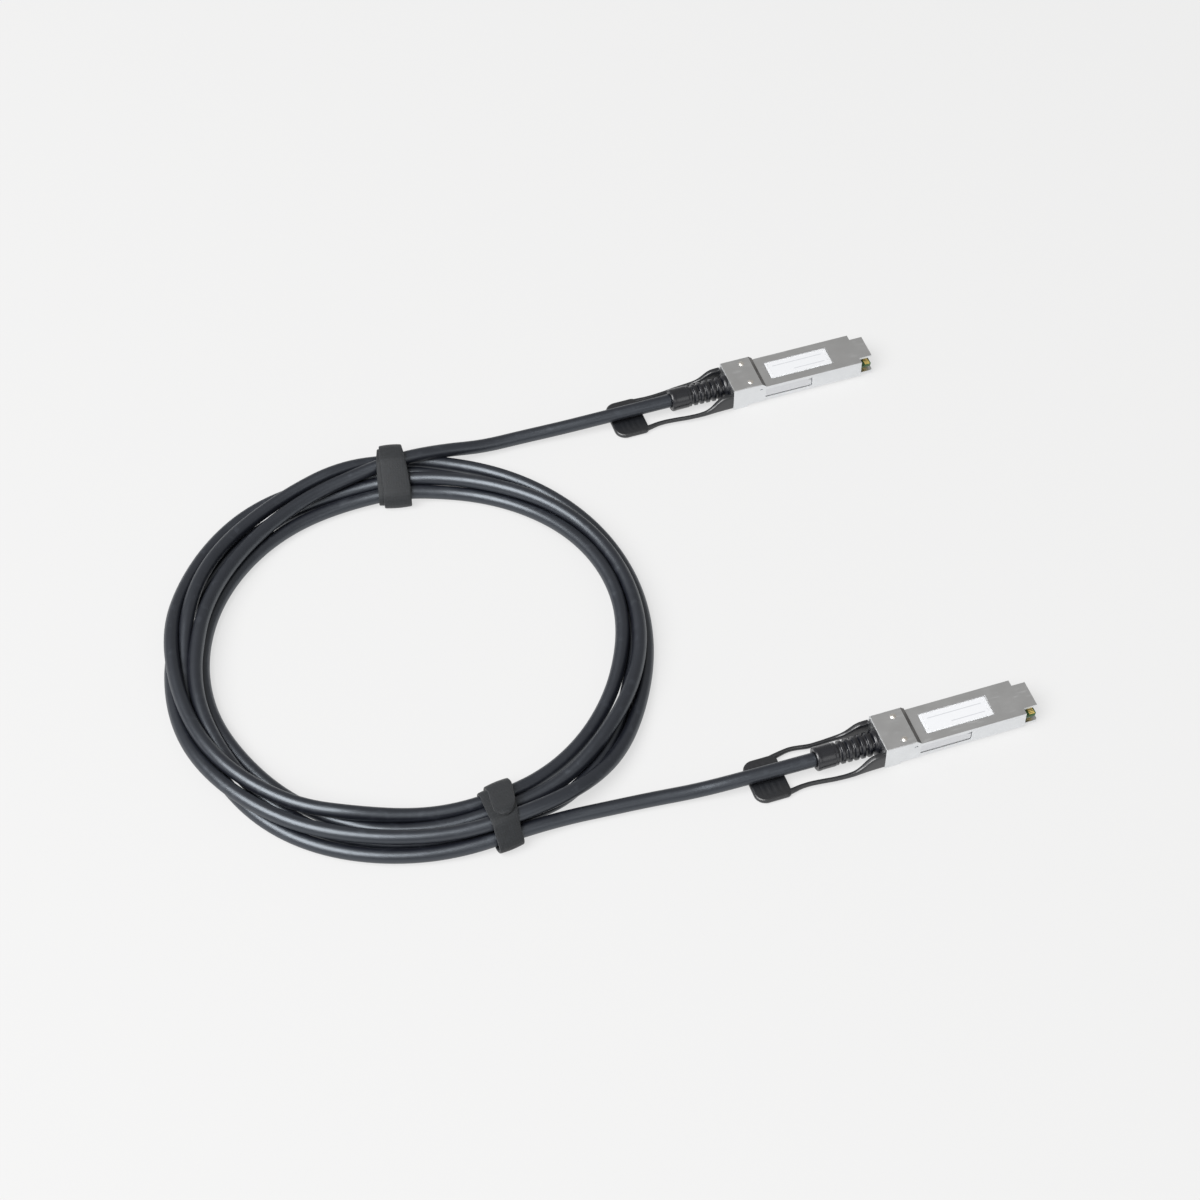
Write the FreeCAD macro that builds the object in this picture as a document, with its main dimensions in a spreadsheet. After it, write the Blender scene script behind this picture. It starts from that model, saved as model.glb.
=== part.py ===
import FreeCAD, Part
import math
import os

import Sketcher
from FreeCAD import Rotation, Vector

# A direct attach copper cable: one round twinax cable with a four-lane pluggable
# connector on each end, wound into a flat coil that two hook-and-loop straps hold.
#
# Frame: millimetres, +Z up, the surface that the cable lies on is z = 0. Both plugs
# point along +X, the way they go into a port. The origin lies on that surface, midway
# between the two plugs in X and in Y. Plug a is the one at +Y.
#
# Inside a plug, x is measured from its step face, where the raised block behind it
# stops against the port: the nose is at +x, the block, boot and pull tab are at -x.

doc = FreeCAD.newDocument("direct_attach_cable")

driving = {
    # where the two plugs lie
    "plugSpacing": (208.4, "distance between the two plugs' centre lines"),
    "plugStagger": (12.7, "how much further out plug a lies than plug b"),
    # shells
    "noseLength": (53.2, "step face to the tip of the nose"),
    "noseFull": (47.2, "step face to the end of the nose's full width"),
    "noseWidth": (18.35, "width of the nose that goes into the port"),
    "noseHeight": (8.5, "height of the nose"),
    "tongueWidth": (12.4, "width of the cover's tongue at the tip"),
    "tipFloorWidth": (16.9, "width of the floor at the tip"),
    "blockLength": (15.7, "length of the raised block behind the step"),
    "blockWidth": (18.9, "width of the raised block"),
    "blockRise": (2.4, "height of the step on top"),
    "standOff": (1.2, "height of the nose's underside over the block's foot"),
    "footFront": (8.5, "step face to the front of the block's foot"),
    "stepBevel": (0.7, "bevel on the top front edge of the block"),
    "coverWall": (1.2, "thickness of the upper shell's cover"),
    "floorWall": (1.2, "thickness of the lower shell's floor"),
    "roofWall": (1.0, "thickness of the block's roof"),
    "rearWall": (3.0, "thickness of the block's rear wall"),
    "narrowBay": (10.0, "width of the bay round the cable's end"),
    "cardBay": (14.8, "width of the bay round the card's tail"),
    "wideBay": (16.65, "width of the bay round the card's head"),
    "narrowBayFront": (11.0, "step face to the front of the narrow bay"),
    "cardBayFront": (24.5, "step face to the front of the card's tail bay"),
    "flangeFloor": (1.5, "height of the bay's floor under the boot's flange"),
    "flangeBayFront": (8.7, "step face to the front of that deeper floor"),
    "pryWidth": (1.4, "length of the pry notch in the seam"),
    "pryHeight": (0.8, "height of the pry notch"),
    "pryDepth": (0.5, "depth of the pry notch"),
    "pryBack": (2.2, "step face back to the pry notch's middle"),
    # card and what is on it
    "cardThick": (1.0, "thickness of the paddle card"),
    "cardHeadWidth": (16.4, "width of the paddle card's head"),
    "cardTailWidth": (14.0, "width of the paddle card's tail"),
    "cardRear": (12.5, "step face to the card's rear edge"),
    "cardNeck": (26.0, "step face to where the card widens"),
    "cardFront": (52.6, "step face to the card's front edge"),
    "cardBevel": (0.8, "bevel on the card's front corners"),
    "railRear": (28.0, "step face to the rear of the card's rails"),
    "railFront": (44.0, "step face to the front of the card's rails"),
    "railIn": (7.3, "centre line to the inner side of a rail"),
    "padPitch": (0.8, "spacing of the contact pads"),
    "padWidth": (0.54, "width of a contact pad"),
    "padLength": (2.4, "length of a contact pad"),
    "padThick": (0.05, "thickness of a contact pad"),
    "padInset": (0.5, "card's front edge to the pads"),
    "chipLength": (4.4, "length of the memory chip"),
    "chipWidth": (3.0, "width of the memory chip"),
    "chipHeight": (0.9, "height of the memory chip"),
    "chipBack": (31.0, "step face to the chip's rear"),
    "chipAside": (2.6, "centre line to the chip's middle"),
    "capLength": (1.0, "length of a coupling capacitor"),
    "capWidth": (0.5, "width and height of a coupling capacitor"),
    "capPitch": (1.5, "spacing of the coupling capacitors"),
    "capBack": (21.0, "step face to the capacitors' rear ends"),
    # cable end inside the plug
    "cableDiameter": (6.3, "diameter of the cable's jacket"),
    "cableAxis": (6.3, "height of the cable's axis at the plug"),
    "coreDiameter": (5.9, "diameter of the shielded core past the jacket"),
    "coreFront": (4.5, "step face back to the core's front"),
    "pairWidth": (1.2, "width of one foil-wrapped pair"),
    "pairThick": (0.9, "thickness of one foil-wrapped pair"),
    "pairPitch": (1.4, "sideways spacing of the pairs"),
    "pairRise": (1.7, "spacing of the two rows of pairs"),
    "mouldRear": (3.0, "step face to the rear of the lead mould"),
    "mouldFront": (17.0, "step face to the front of the lead mould"),
    "mouldWidth": (9.8, "width of the lead mould"),
    "mouldBottom": (2.6, "height of the lead mould's underside"),
    "mouldTop": (8.4, "height of the lead mould's top"),
    "ringLength": (5.2, "length of the crimp ring"),
    "ringWall": (0.7, "thinnest wall of the crimp ring"),
    # boot
    "bootTail": (27.6, "length of the boot behind the block"),
    "neckDiameter": (7.6, "diameter of the boot's neck in the block's wall"),
    "neckGap": (0.1, "clearance round the neck"),
    "flangeDiameter": (9.4, "diameter of the boot's flange inside the block"),
    "flangeThick": (1.3, "thickness of the flange"),
    "bootFront": (11.3, "diameter of the boot's collar at the block"),
    "collarLength": (1.7, "length of that collar"),
    "ribDiameter": (10.4, "diameter of the boot's ribs"),
    "bootRear": (9.4, "diameter of the boot's rear sleeve"),
    "sleeveLength": (8.0, "length of the plain rear sleeve"),
    "slotFloor": (3.55, "boot's axis to the floor of a slot"),
    "slotWidth": (1.25, "width of a slot"),
    "slotPitch": (2.9, "spacing of the slots"),
    "slotStart": (2.3, "block to the first slot"),
    # release slider and its springs
    "sheetThick": (0.5, "thickness of the slider's steel"),
    "armFace": (8.35, "centre line to an arm's inner face"),
    "armGap": (0.1, "clearance beside an arm"),
    "armRise": (0.2, "clearance above and below an arm"),
    "armBottom": (3.2, "height of an arm's lower edge"),
    "armTop": (7.8, "height of an arm's upper edge"),
    "armFront": (22.5, "step face to an arm's front end"),
    "armRear": (22.0, "step face back to an arm's rear end"),
    "bridgeBottom": (0.55, "height of the bridge's underside"),
    "bridgeFront": (0.6, "step face back to the bridge's front"),
    "bridgeRear": (6.0, "step face back to the bridge's rear"),
    "bendRound": (0.2, "inner bevel of the slider's bends"),
    "travel": (2.2, "how far the slider is pulled back"),
    "stopGap": (0.3, "clearance past the slider's travel"),
    "flareOut": (0.28, "how far the wedge at an arm's end stands out"),
    "flareLength": (2.0, "length of that wedge"),
    "flareHeight": (3.0, "height of that wedge"),
    "springDiameter": (1.9, "outer diameter of a return spring"),
    "springRear": (1.5, "step face to the rear of a spring's pocket"),
    "springLength": (8.0, "length of a return spring at rest"),
    "springOut": (7.05, "centre line to a spring's axis"),
    "springHeight": (5.5, "height of a spring's axis"),
    "springGap": (0.1, "clearance round and behind a spring"),
    "earHeight": (2.2, "height of the ear that a spring presses on"),
    # pull tab
    "tabReach": (71.0, "step face back to the end of the grip"),
    "tabGap": (0.3, "clearance between the pull tab and the block"),
    "gripLength": (15.7, "length of the grip"),
    "gripWidth": (20.6, "width of the grip"),
    "gripCorner": (5.0, "rounding of the grip's rear corners"),
    "gripBottom": (0.3, "height of the grip's underside"),
    "gripThick": (2.3, "thickness of the grip"),
    "tabArm": (2.0, "width of one of the pull tab's arms"),
    "tabArmBottom": (1.5, "height of an arm's underside at the root"),
    "tabArmThick": (2.4, "thickness of the pull tab's arm"),
    "rootLength": (8.3, "length of the pull tab's root"),
    "rootTop": (9.6, "height of the pull tab's root"),
    "rootIn": (7.4, "centre line to a root's inner face"),
    "rootOut": (10.2, "centre line to a root's outer face"),
    "gripRidge": (0.5, "depth of the grooves across the grip"),
    # rivets and label
    "rivetBack": (6.4, "step face back to the rivets"),
    "rivetOut": (6.1, "centre line to a rivet"),
    "rivetDiameter": (2.0, "diameter of a rivet"),
    "rivetProud": (0.3, "how far a rivet stands out of the block's top"),
    "rivetFoot": (2.2, "height of a rivet's lower end"),
    "holeGap": (0.05, "clearance round a rivet"),
    "labelLength": (30.0, "length of the label"),
    "labelWidth": (10.0, "width of the label"),
    "labelThick": (0.12, "thickness of the label"),
    "labelRear": (4.4, "step face to the label's rear edge"),
    "labelSink": (0.1, "depth of the label's recess"),
    "labelGap": (0.3, "clearance round the label"),
    # coil
    "coilX": (-180.0, "coil's centre in X"),
    "coilY": (8.4, "coil's centre in Y"),
    "coilOuterX": (103.6, "coil's outer radius along X"),
    "coilOuterY": (108.3, "coil's outer radius along Y"),
    "coilInnerX": (87.0, "coil's inner radius along X"),
    "coilInnerY": (82.4, "coil's inner radius along Y"),
    "coilInnerShift": (3.0, "how far the coil's hole lies towards the plugs"),
    "coilHeight": (11.3, "height of the coil where its turns stack"),
    "coilBevel": (3.0, "bevel of the coil's upper edges"),
    "stubLength": (27.0, "length of the straight start of each free end"),
    "sagLift": (0.05, "height of the cable's underside where it lies"),
    # straps
    "strapWidth": (15.8, "width of a strap"),
    "strapThick": (1.6, "thickness of a strap"),
    "strapGap": (0.1, "clearance between a strap and the coil"),
    "strapRound": (2.6, "rounding of a strap's corners"),
    "tabLap": (15.0, "length of a strap's free end on top"),
    "tabShift": (0.8, "how far the free end lies askew"),
    "upperAngle": (77.6, "upper strap's place round the coil, in degrees"),
    "upperInner": (81.2, "coil's centre to the upper strap's inner side"),
    "upperSpan": (27.8, "room inside the upper strap"),
    "upperRise": (6.7, "height inside the upper strap"),
    "lowerAngle": (277.6, "lower strap's place round the coil, in degrees"),
    "lowerInner": (85.4, "coil's centre to the lower strap's inner side"),
    "lowerSpan": (23.4, "room inside the lower strap"),
    "lowerRise": (8.6, "height inside the lower strap"),
}

sheet = doc.addObject("Spreadsheet::Sheet", "Sizes")
for row, (alias, (number, note)) in enumerate(driving.items(), start=1):
    sheet.set("A%d" % row, note)
    sheet.set("B%d" % row, str(number))
    sheet.setAlias("B%d" % row, alias)
doc.recompute()


class Size:
    """A number from the sheet with the expression that it came from."""

    def __init__(self, number, text):
        self.number = float(number)
        self.text = text

    def join(self, sign, other, swapped=False):
        other = asSize(other)
        left, right = (other, self) if swapped else (self, other)
        number = {
            "+": lambda: left.number + right.number,
            "-": lambda: left.number - right.number,
            "*": lambda: left.number * right.number,
            "/": lambda: left.number / right.number,
        }[sign]()
        return Size(number, "(%s %s %s)" % (left.text, sign, right.text))

    def __add__(self, other):
        return self.join("+", other)

    def __radd__(self, other):
        return self.join("+", other, True)

    def __sub__(self, other):
        return self.join("-", other)

    def __rsub__(self, other):
        return self.join("-", other, True)

    def __mul__(self, other):
        return self.join("*", other)

    def __rmul__(self, other):
        return self.join("*", other, True)

    def __truediv__(self, other):
        return self.join("/", other)

    def __neg__(self):
        return self.join("*", -1)


def asSize(value):
    return value if isinstance(value, Size) else Size(value, "(%.6f)" % value)


class Sizes:
    """The sheet's cells, read back as Size values."""

    def __getattr__(self, alias):
        return Size(sheet.get(alias), "Sizes." + alias)


s = Sizes()


# ---- drawing helpers

def bind(obj, prop, size):
    obj.setExpression(prop, asSize(size).text)


def place(obj, x, y, z, turn=0):
    """Puts an object at x, y, z, turned by turn degrees about Z."""
    spot = [asSize(v) for v in (x, y, z)]
    turn = asSize(turn)
    rotation = Rotation(Vector(0, 0, 1), turn.number)
    obj.Placement = FreeCAD.Placement(Vector(*(v.number for v in spot)), rotation)
    for axis, v in zip("xyz", spot):
        bind(obj, "Placement.Base." + axis, v)
    if turn.number:
        bind(obj, "Placement.Rotation.Angle", turn)


def newBody(label, several=False):
    body = doc.addObject("PartDesign::Body", label)
    body.Label = label
    body.AllowCompound = several
    return body


def feature(body, kind, name):
    return body.newObject(kind, body.Label + "_" + name)


def drawSketch(body, name, role, loops, lift=0):
    """A sketch on one of the body's own planes, lifted along the plane's normal.
    A loop is a list of (across, up) corners, or one (across, up, radius) circle."""
    sketch = feature(body, "Sketcher::SketchObject", name)
    plane = [f for f in body.Origin.OriginFeatures if f.Role == role][0]
    sketch.AttachmentSupport = [(plane, "")]
    sketch.MapMode = "FlatFace"
    bind(sketch, "AttachmentOffset.Base.z", lift)
    sketch.AttachmentOffset = FreeCAD.Placement(
        Vector(0, 0, asSize(lift).number), Rotation()
    )
    ties = []
    for loop in loops:
        if isinstance(loop, tuple):
            ties += circleTies(sketch, *(asSize(v) for v in loop))
        else:
            ties += polygonTies(sketch, [(asSize(a), asSize(b)) for a, b in loop])
    # all constraints go in at once, then each size is bound to its own
    numbers = sketch.addConstraint([rule for rule, size in ties])
    for number, (rule, size) in zip(numbers, ties):
        if size is not None:
            bind(sketch, "Constraints[%d]" % number, size)
    return sketch


def pinned(edge, point, across, up):
    """Ties one point of a sketch to its two sizes."""
    return [
        (Sketcher.Constraint("DistanceX", -1, 1, edge, point, across.number), across),
        (Sketcher.Constraint("DistanceY", -1, 1, edge, point, up.number), up),
    ]


def polygonTies(sketch, corners):
    ends = [Vector(a.number, b.number, 0) for a, b in corners]
    lines = [Part.LineSegment(p, q) for p, q in zip(ends, ends[1:] + ends[:1])]
    edges = list(sketch.addGeometry(lines, False))
    ties = []
    for edge, following, (a, b) in zip(edges, edges[1:] + edges[:1], corners):
        ties.append((Sketcher.Constraint("Coincident", edge, 2, following, 1), None))
        ties += pinned(edge, 1, a, b)
    return ties


def circleTies(sketch, across, up, radius):
    centre = Vector(across.number, up.number, 0)
    edge = sketch.addGeometry(Part.Circle(centre, Vector(0, 0, 1), radius.number), False)
    ring = (Sketcher.Constraint("Radius", edge, radius.number), radius)
    return [ring, *pinned(edge, 3, across, up)]


def rectangle(x0, x1, y0, y1):
    return [(x0, y0), (x1, y0), (x1, y1), (x0, y1)]


def bothSides(x0, x1, y0, y1):
    """The same rectangle on each side of the centre line."""
    return [rectangle(x0, x1, y0, y1), rectangle(x0, x1, -y1, -y0)]


def extrude(body, kind, name, sketch, length, midplane=False, flip=False):
    solid = feature(body, kind, name)
    solid.Profile = sketch
    solid.Length = asSize(length).number
    bind(solid, "Length", length)
    solid.Midplane = midplane
    solid.Reversed = flip
    sketch.Visibility = False
    return solid


def pad(body, name, sketch, length, midplane=False, flip=False):
    return extrude(body, "PartDesign::Pad", name, sketch, length, midplane, flip)


def pocket(body, name, sketch, length, midplane=False, flip=False):
    return extrude(body, "PartDesign::Pocket", name, sketch, length, midplane, flip)


def edgesWhere(shape, test):
    """Names of the edges whose bounding box passes the test."""
    names = enumerate(shape.Edges, start=1)
    return ["Edge%d" % n for n, edge in names if test(edge.BoundBox)]


def dress(body, kind, name, base, test, prop, size):
    """A fillet or a chamfer on the edges that pass the test."""
    doc.recompute()
    trim = feature(body, kind, name)
    trim.Base = (base, edgesWhere(base.Shape, test))
    setattr(trim, prop, asSize(size).number)
    bind(trim, prop, size)
    return trim


def near(a, b):
    return abs(a - b) < 1e-4


# ---- heights and places that several pieces share

seam = s.standOff + s.noseHeight - s.coverWall
noseTop = s.standOff + s.noseHeight
blockTop = noseTop + s.blockRise
floorTop = s.standOff + s.floorWall
cardBottom = s.standOff + s.noseHeight / 2 - s.cardThick / 2
cardTop = cardBottom + s.cardThick
bayRear = s.blockLength - s.rearWall
slotIn = s.armFace - s.armGap
slotOut = s.armFace + s.sheetThick + s.armGap
slotFront = s.armFront + s.stopGap
bridgeBay = s.bridgeRear + s.travel + s.stopGap
neckRoom = s.neckDiameter / 2 + s.neckGap
springRoom = s.springDiameter / 2 + s.springGap
earRear = s.springRear + s.springLength + 2 * s.springGap
earFront = earRear + s.sheetThick
bootRearEnd = s.blockLength + s.bootTail
plugAX = (s.plugStagger + s.tabReach - s.noseLength) / 2
plugBX = plugAX - s.plugStagger


# ---- shells

def lowerShell(label):
    """Die-cast trough: floor, side walls, foot, bays and the slider's channels."""
    body = newBody(label)
    nose = drawSketch(body, "nose_side", "XZ_Plane", [rectangle(-1, s.noseFull, s.standOff, seam)])
    pad(body, "nose", nose, s.noseWidth, midplane=True)
    outline = [
        (-s.blockLength, 0),
        (-s.footFront, 0),
        (-s.footFront, s.standOff),
        (0, s.standOff),
        (0, seam),
        (-s.blockLength, seam),
    ]
    block = drawSketch(body, "block_side", "XZ_Plane", [outline])
    pad(body, "block", block, s.blockWidth, midplane=True)
    half = s.tipFloorWidth / 2
    tip = [
        (s.noseFull - 1, -half),
        (s.noseLength - 0.8, -half),
        (s.noseLength, 0.8 - half),
        (s.noseLength, half - 0.8),
        (s.noseLength - 0.8, half),
        (s.noseFull - 1, half),
    ]
    tipPlan = drawSketch(body, "tip_plan", "XY_Plane", [tip], s.standOff)
    pad(body, "tip", tipPlan, s.floorWall)

    narrow, middle, wide = s.narrowBay / 2, s.cardBay / 2, s.wideBay / 2
    right = [
        (-bayRear, narrow),
        (s.narrowBayFront, narrow),
        (s.narrowBayFront, middle),
        (s.cardBayFront, middle),
        (s.cardBayFront, wide),
        (s.noseFull + 1, wide),
    ]
    bay = right + [(x, -y) for x, y in reversed(right)]
    bayPlan = drawSketch(body, "bay_plan", "XY_Plane", [bay], seam)
    pocket(body, "bay", bayPlan, seam - floorTop)
    deep = rectangle(-bayRear, -s.flangeBayFront, -narrow, narrow)
    deepPlan = drawSketch(body, "flange_plan", "XY_Plane", [deep], seam)
    pocket(body, "flange_bay", deepPlan, seam - s.flangeFloor)

    neck = drawSketch(body, "neck_ring", "YZ_Plane", [(0, s.cableAxis, neckRoom)], -s.blockLength)
    pocket(body, "neck", neck, s.rearWall, flip=True)
    throat = rectangle(-neckRoom, neckRoom, s.cableAxis, seam)
    throatFace = drawSketch(body, "throat_face", "YZ_Plane", [throat], -s.blockLength)
    pocket(body, "throat", throatFace, s.rearWall, flip=True)

    channel = drawSketch(
        body, "channel_plan", "XY_Plane", bothSides(-s.blockLength - 1, 0, slotIn, slotOut), seam
    )
    pocket(body, "channels", channel, seam - s.armBottom + s.armRise)
    bridge = drawSketch(
        body, "bridge_plan", "XY_Plane", bothSides(-bridgeBay, 0, slotIn, slotOut), seam
    )
    pocket(body, "bridge_slots", bridge, seam)
    recess = drawSketch(
        body,
        "recess_plan",
        "XY_Plane",
        bothSides(0, slotFront, slotIn, s.noseWidth / 2 + 1),
        s.armTop + s.armRise,
    )
    pocket(body, "recesses", recess, s.armTop - s.armBottom + 2 * s.armRise)
    nest = drawSketch(
        body,
        "spring_plan",
        "XY_Plane",
        bothSides(s.springRear, earFront + s.armRise, s.springOut - springRoom, slotIn),
        seam,
    )
    pocket(body, "spring_pockets", nest, seam - s.springHeight + s.earHeight / 2 + s.armRise)

    rails = bothSides(s.railRear, s.railFront, s.railIn, s.wideBay / 2 + 0.1)
    railPlan = drawSketch(body, "rail_plan", "XY_Plane", rails, floorTop)
    pad(body, "rails", railPlan, cardBottom - floorTop)
    holes = [(-s.rivetBack, y, s.rivetDiameter / 2 + s.holeGap) for y in (s.rivetOut, -s.rivetOut)]
    holePlan = drawSketch(body, "rivet_plan", "XY_Plane", holes, seam)
    last = pocket(body, "rivet_holes", holePlan, seam - s.rivetFoot)

    heel = s.blockLength.number
    foot = s.footFront.number
    dress(
        body,
        "PartDesign::Chamfer",
        "foot_bevel",
        last,
        lambda box: near(box.ZMax, 0) and near(box.ZMin, 0) and (near(box.XMax, -heel) or near(box.XMin, -foot)),
        "Size",
        0.3,
    )
    return body


def upperShell(label):
    """Die-cast cover: lid of the nose, tongue, raised block and what holds the card."""
    body = newBody(label)
    half, tongue = s.noseWidth / 2, s.tongueWidth / 2
    lid = [
        (-1, -half),
        (s.noseFull, -half),
        (s.noseFull, -tongue),
        (s.noseLength, -tongue),
        (s.noseLength, tongue),
        (s.noseFull, tongue),
        (s.noseFull, half),
        (-1, half),
    ]
    lidPlan = drawSketch(body, "lid_plan", "XY_Plane", [lid], seam)
    pad(body, "lid", lidPlan, s.coverWall)
    outline = [
        (-s.blockLength, seam),
        (0, seam),
        (0, blockTop - s.stepBevel),
        (-s.stepBevel, blockTop),
        (-s.blockLength, blockTop),
    ]
    block = drawSketch(body, "block_side", "XZ_Plane", [outline])
    pad(body, "block", block, s.blockWidth, midplane=True)
    narrow = s.narrowBay / 2
    room = rectangle(-bayRear, -s.roofWall, -narrow, narrow)
    roomPlan = drawSketch(body, "room_plan", "XY_Plane", [room], seam)
    pocket(body, "room", roomPlan, blockTop - s.roofWall - seam, flip=True)
    neck = drawSketch(body, "neck_ring", "YZ_Plane", [(0, s.cableAxis, neckRoom)], -s.blockLength)
    pocket(body, "neck", neck, s.rearWall, flip=True)

    nips = bothSides(s.railRear, s.railFront, s.railIn, s.wideBay / 2 - 0.1)
    nipPlan = drawSketch(body, "nip_plan", "XY_Plane", nips, seam)
    pad(body, "nips", nipPlan, seam - cardTop, flip=True)
    holes = [(-s.rivetBack, y, s.rivetDiameter / 2 + s.holeGap) for y in (s.rivetOut, -s.rivetOut)]
    holePlan = drawSketch(body, "rivet_plan", "XY_Plane", holes, blockTop)
    pocket(body, "rivet_holes", holePlan, blockTop - seam)
    side = s.blockWidth / 2
    pry = bothSides(
        -s.pryBack - s.pryWidth / 2, -s.pryBack + s.pryWidth / 2, side - s.pryDepth, side + 1
    )
    pryPlan = drawSketch(body, "pry_plan", "XY_Plane", pry, seam)
    pocket(body, "pry_notches", pryPlan, s.pryHeight, flip=True)
    seat = rectangle(
        s.labelRear - s.labelGap,
        s.labelRear + s.labelLength + s.labelGap,
        -s.labelWidth / 2 - s.labelGap,
        s.labelWidth / 2 + s.labelGap,
    )
    seatPlan = drawSketch(body, "seat_plan", "XY_Plane", [seat], noseTop)
    last = pocket(body, "label_seat", seatPlan, s.labelSink)

    top, heel, wide = blockTop.number, s.blockLength.number, s.blockWidth.number / 2
    dress(
        body,
        "PartDesign::Fillet",
        "block_round",
        last,
        lambda box: near(box.ZMin, top)
        and near(box.ZMax, top)
        and (near(box.XMax, -heel) or near(abs(box.YMax), wide) and near(abs(box.YMin), wide)),
        "Radius",
        0.5,
    )
    return body


# ---- card and what is soldered to it

def paddleCard(label):
    """Printed card with a wide head that the port's contacts grip."""
    body = newBody(label)
    head, tail = s.cardHeadWidth / 2, s.cardTailWidth / 2
    right = [
        (s.cardRear, tail),
        (s.cardNeck, tail),
        (s.cardNeck, head),
        (s.cardFront - s.cardBevel, head),
        (s.cardFront, head - s.cardBevel),
    ]
    outline = right + [(x, -y) for x, y in reversed(right)]
    plan = drawSketch(body, "plan", "XY_Plane", [outline], cardBottom)
    pad(body, "board", plan, s.cardThick)
    return body


def contactPads(label):
    """Two rows of gold-plated pads, one on each face of the card."""
    body = newBody(label, several=True)
    front = s.cardFront - s.padInset
    rows = []
    for place_ in range(-9, 10):
        middle = s.padPitch * place_
        rows.append(
            rectangle(front - s.padLength, front, middle - s.padWidth / 2, middle + s.padWidth / 2)
        )
    upper = drawSketch(body, "upper_plan", "XY_Plane", rows, cardTop)
    pad(body, "upper_row", upper, s.padThick)
    lower = drawSketch(body, "lower_plan", "XY_Plane", rows, cardBottom)
    pad(body, "lower_row", lower, s.padThick, flip=True)
    return body


def memoryChip(label):
    """Small flat chip that tells the port what cable this is."""
    body = newBody(label)
    x, y = s.chipBack, s.chipAside
    case = rectangle(x, x + s.chipLength, y - s.chipWidth / 2, y + s.chipWidth / 2)
    plan = drawSketch(body, "plan", "XY_Plane", [case], cardTop)
    pad(body, "case", plan, s.chipHeight)
    return body


def couplingCapacitors(label):
    """One small capacitor in each line that the cable receives on."""
    body = newBody(label, several=True)
    chips = []
    for place_ in range(8):
        middle = s.capPitch * (place_ - 3.5)
        chips.append(
            rectangle(
                s.capBack, s.capBack + s.capLength, middle - s.capWidth / 2, middle + s.capWidth / 2
            )
        )
    plan = drawSketch(body, "plan", "XY_Plane", chips, cardTop)
    pad(body, "row", plan, s.capWidth)
    return body


# ---- cable end inside the plug

def leadMould(label):
    """Plastic moulded over the solder joints, in two jaws round the card's tail."""
    body = newBody(label)
    outline = [
        (s.mouldRear, s.mouldBottom),
        (s.mouldFront, s.mouldBottom),
        (s.mouldFront, cardBottom),
        (s.cardRear, cardBottom),
        (s.cardRear, cardTop),
        (s.mouldFront, cardTop),
        (s.mouldFront, s.mouldTop),
        (s.mouldRear, s.mouldTop),
    ]
    side = drawSketch(body, "side", "XZ_Plane", [outline])
    pad(body, "mould", side, s.mouldWidth, midplane=True)
    return body


def twinaxLeads(label):
    """Shielded core of the cable and the eight flat pairs that come out of it."""
    body = newBody(label)
    start = bayRear - s.flangeThick
    core = drawSketch(body, "core_face", "YZ_Plane", [(0, s.cableAxis, s.coreDiameter / 2)], -start)
    pad(body, "core", core, start - s.coreFront)
    pairs = []
    for column in (-1.5, -0.5, 0.5, 1.5):
        for row in (-0.5, 0.5):
            across = s.pairPitch * column
            up = s.cableAxis + s.pairRise * row
            pairs.append(
                rectangle(
                    across - s.pairWidth / 2,
                    across + s.pairWidth / 2,
                    up - s.pairThick / 2,
                    up + s.pairThick / 2,
                )
            )
    pairFace = drawSketch(body, "pair_face", "YZ_Plane", pairs, -s.coreFront)
    pad(body, "pairs", pairFace, s.coreFront + s.mouldRear)
    return body


def crimpRing(label):
    """Ferrule pressed to a hexagon over the core's shield."""
    body = newBody(label)
    inner = s.coreDiameter / 2
    reach = (inner + s.ringWall) / math.cos(math.radians(30))
    hexagon = []
    for corner in range(6):
        turn = math.radians(60 * corner)
        hexagon.append((reach * math.cos(turn), s.cableAxis + reach * math.sin(turn)))
    start = bayRear - s.flangeThick - s.neckGap
    face = drawSketch(body, "face", "YZ_Plane", [hexagon, (0, s.cableAxis, inner)], -start)
    pad(body, "ring", face, s.ringLength)
    return body


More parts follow.
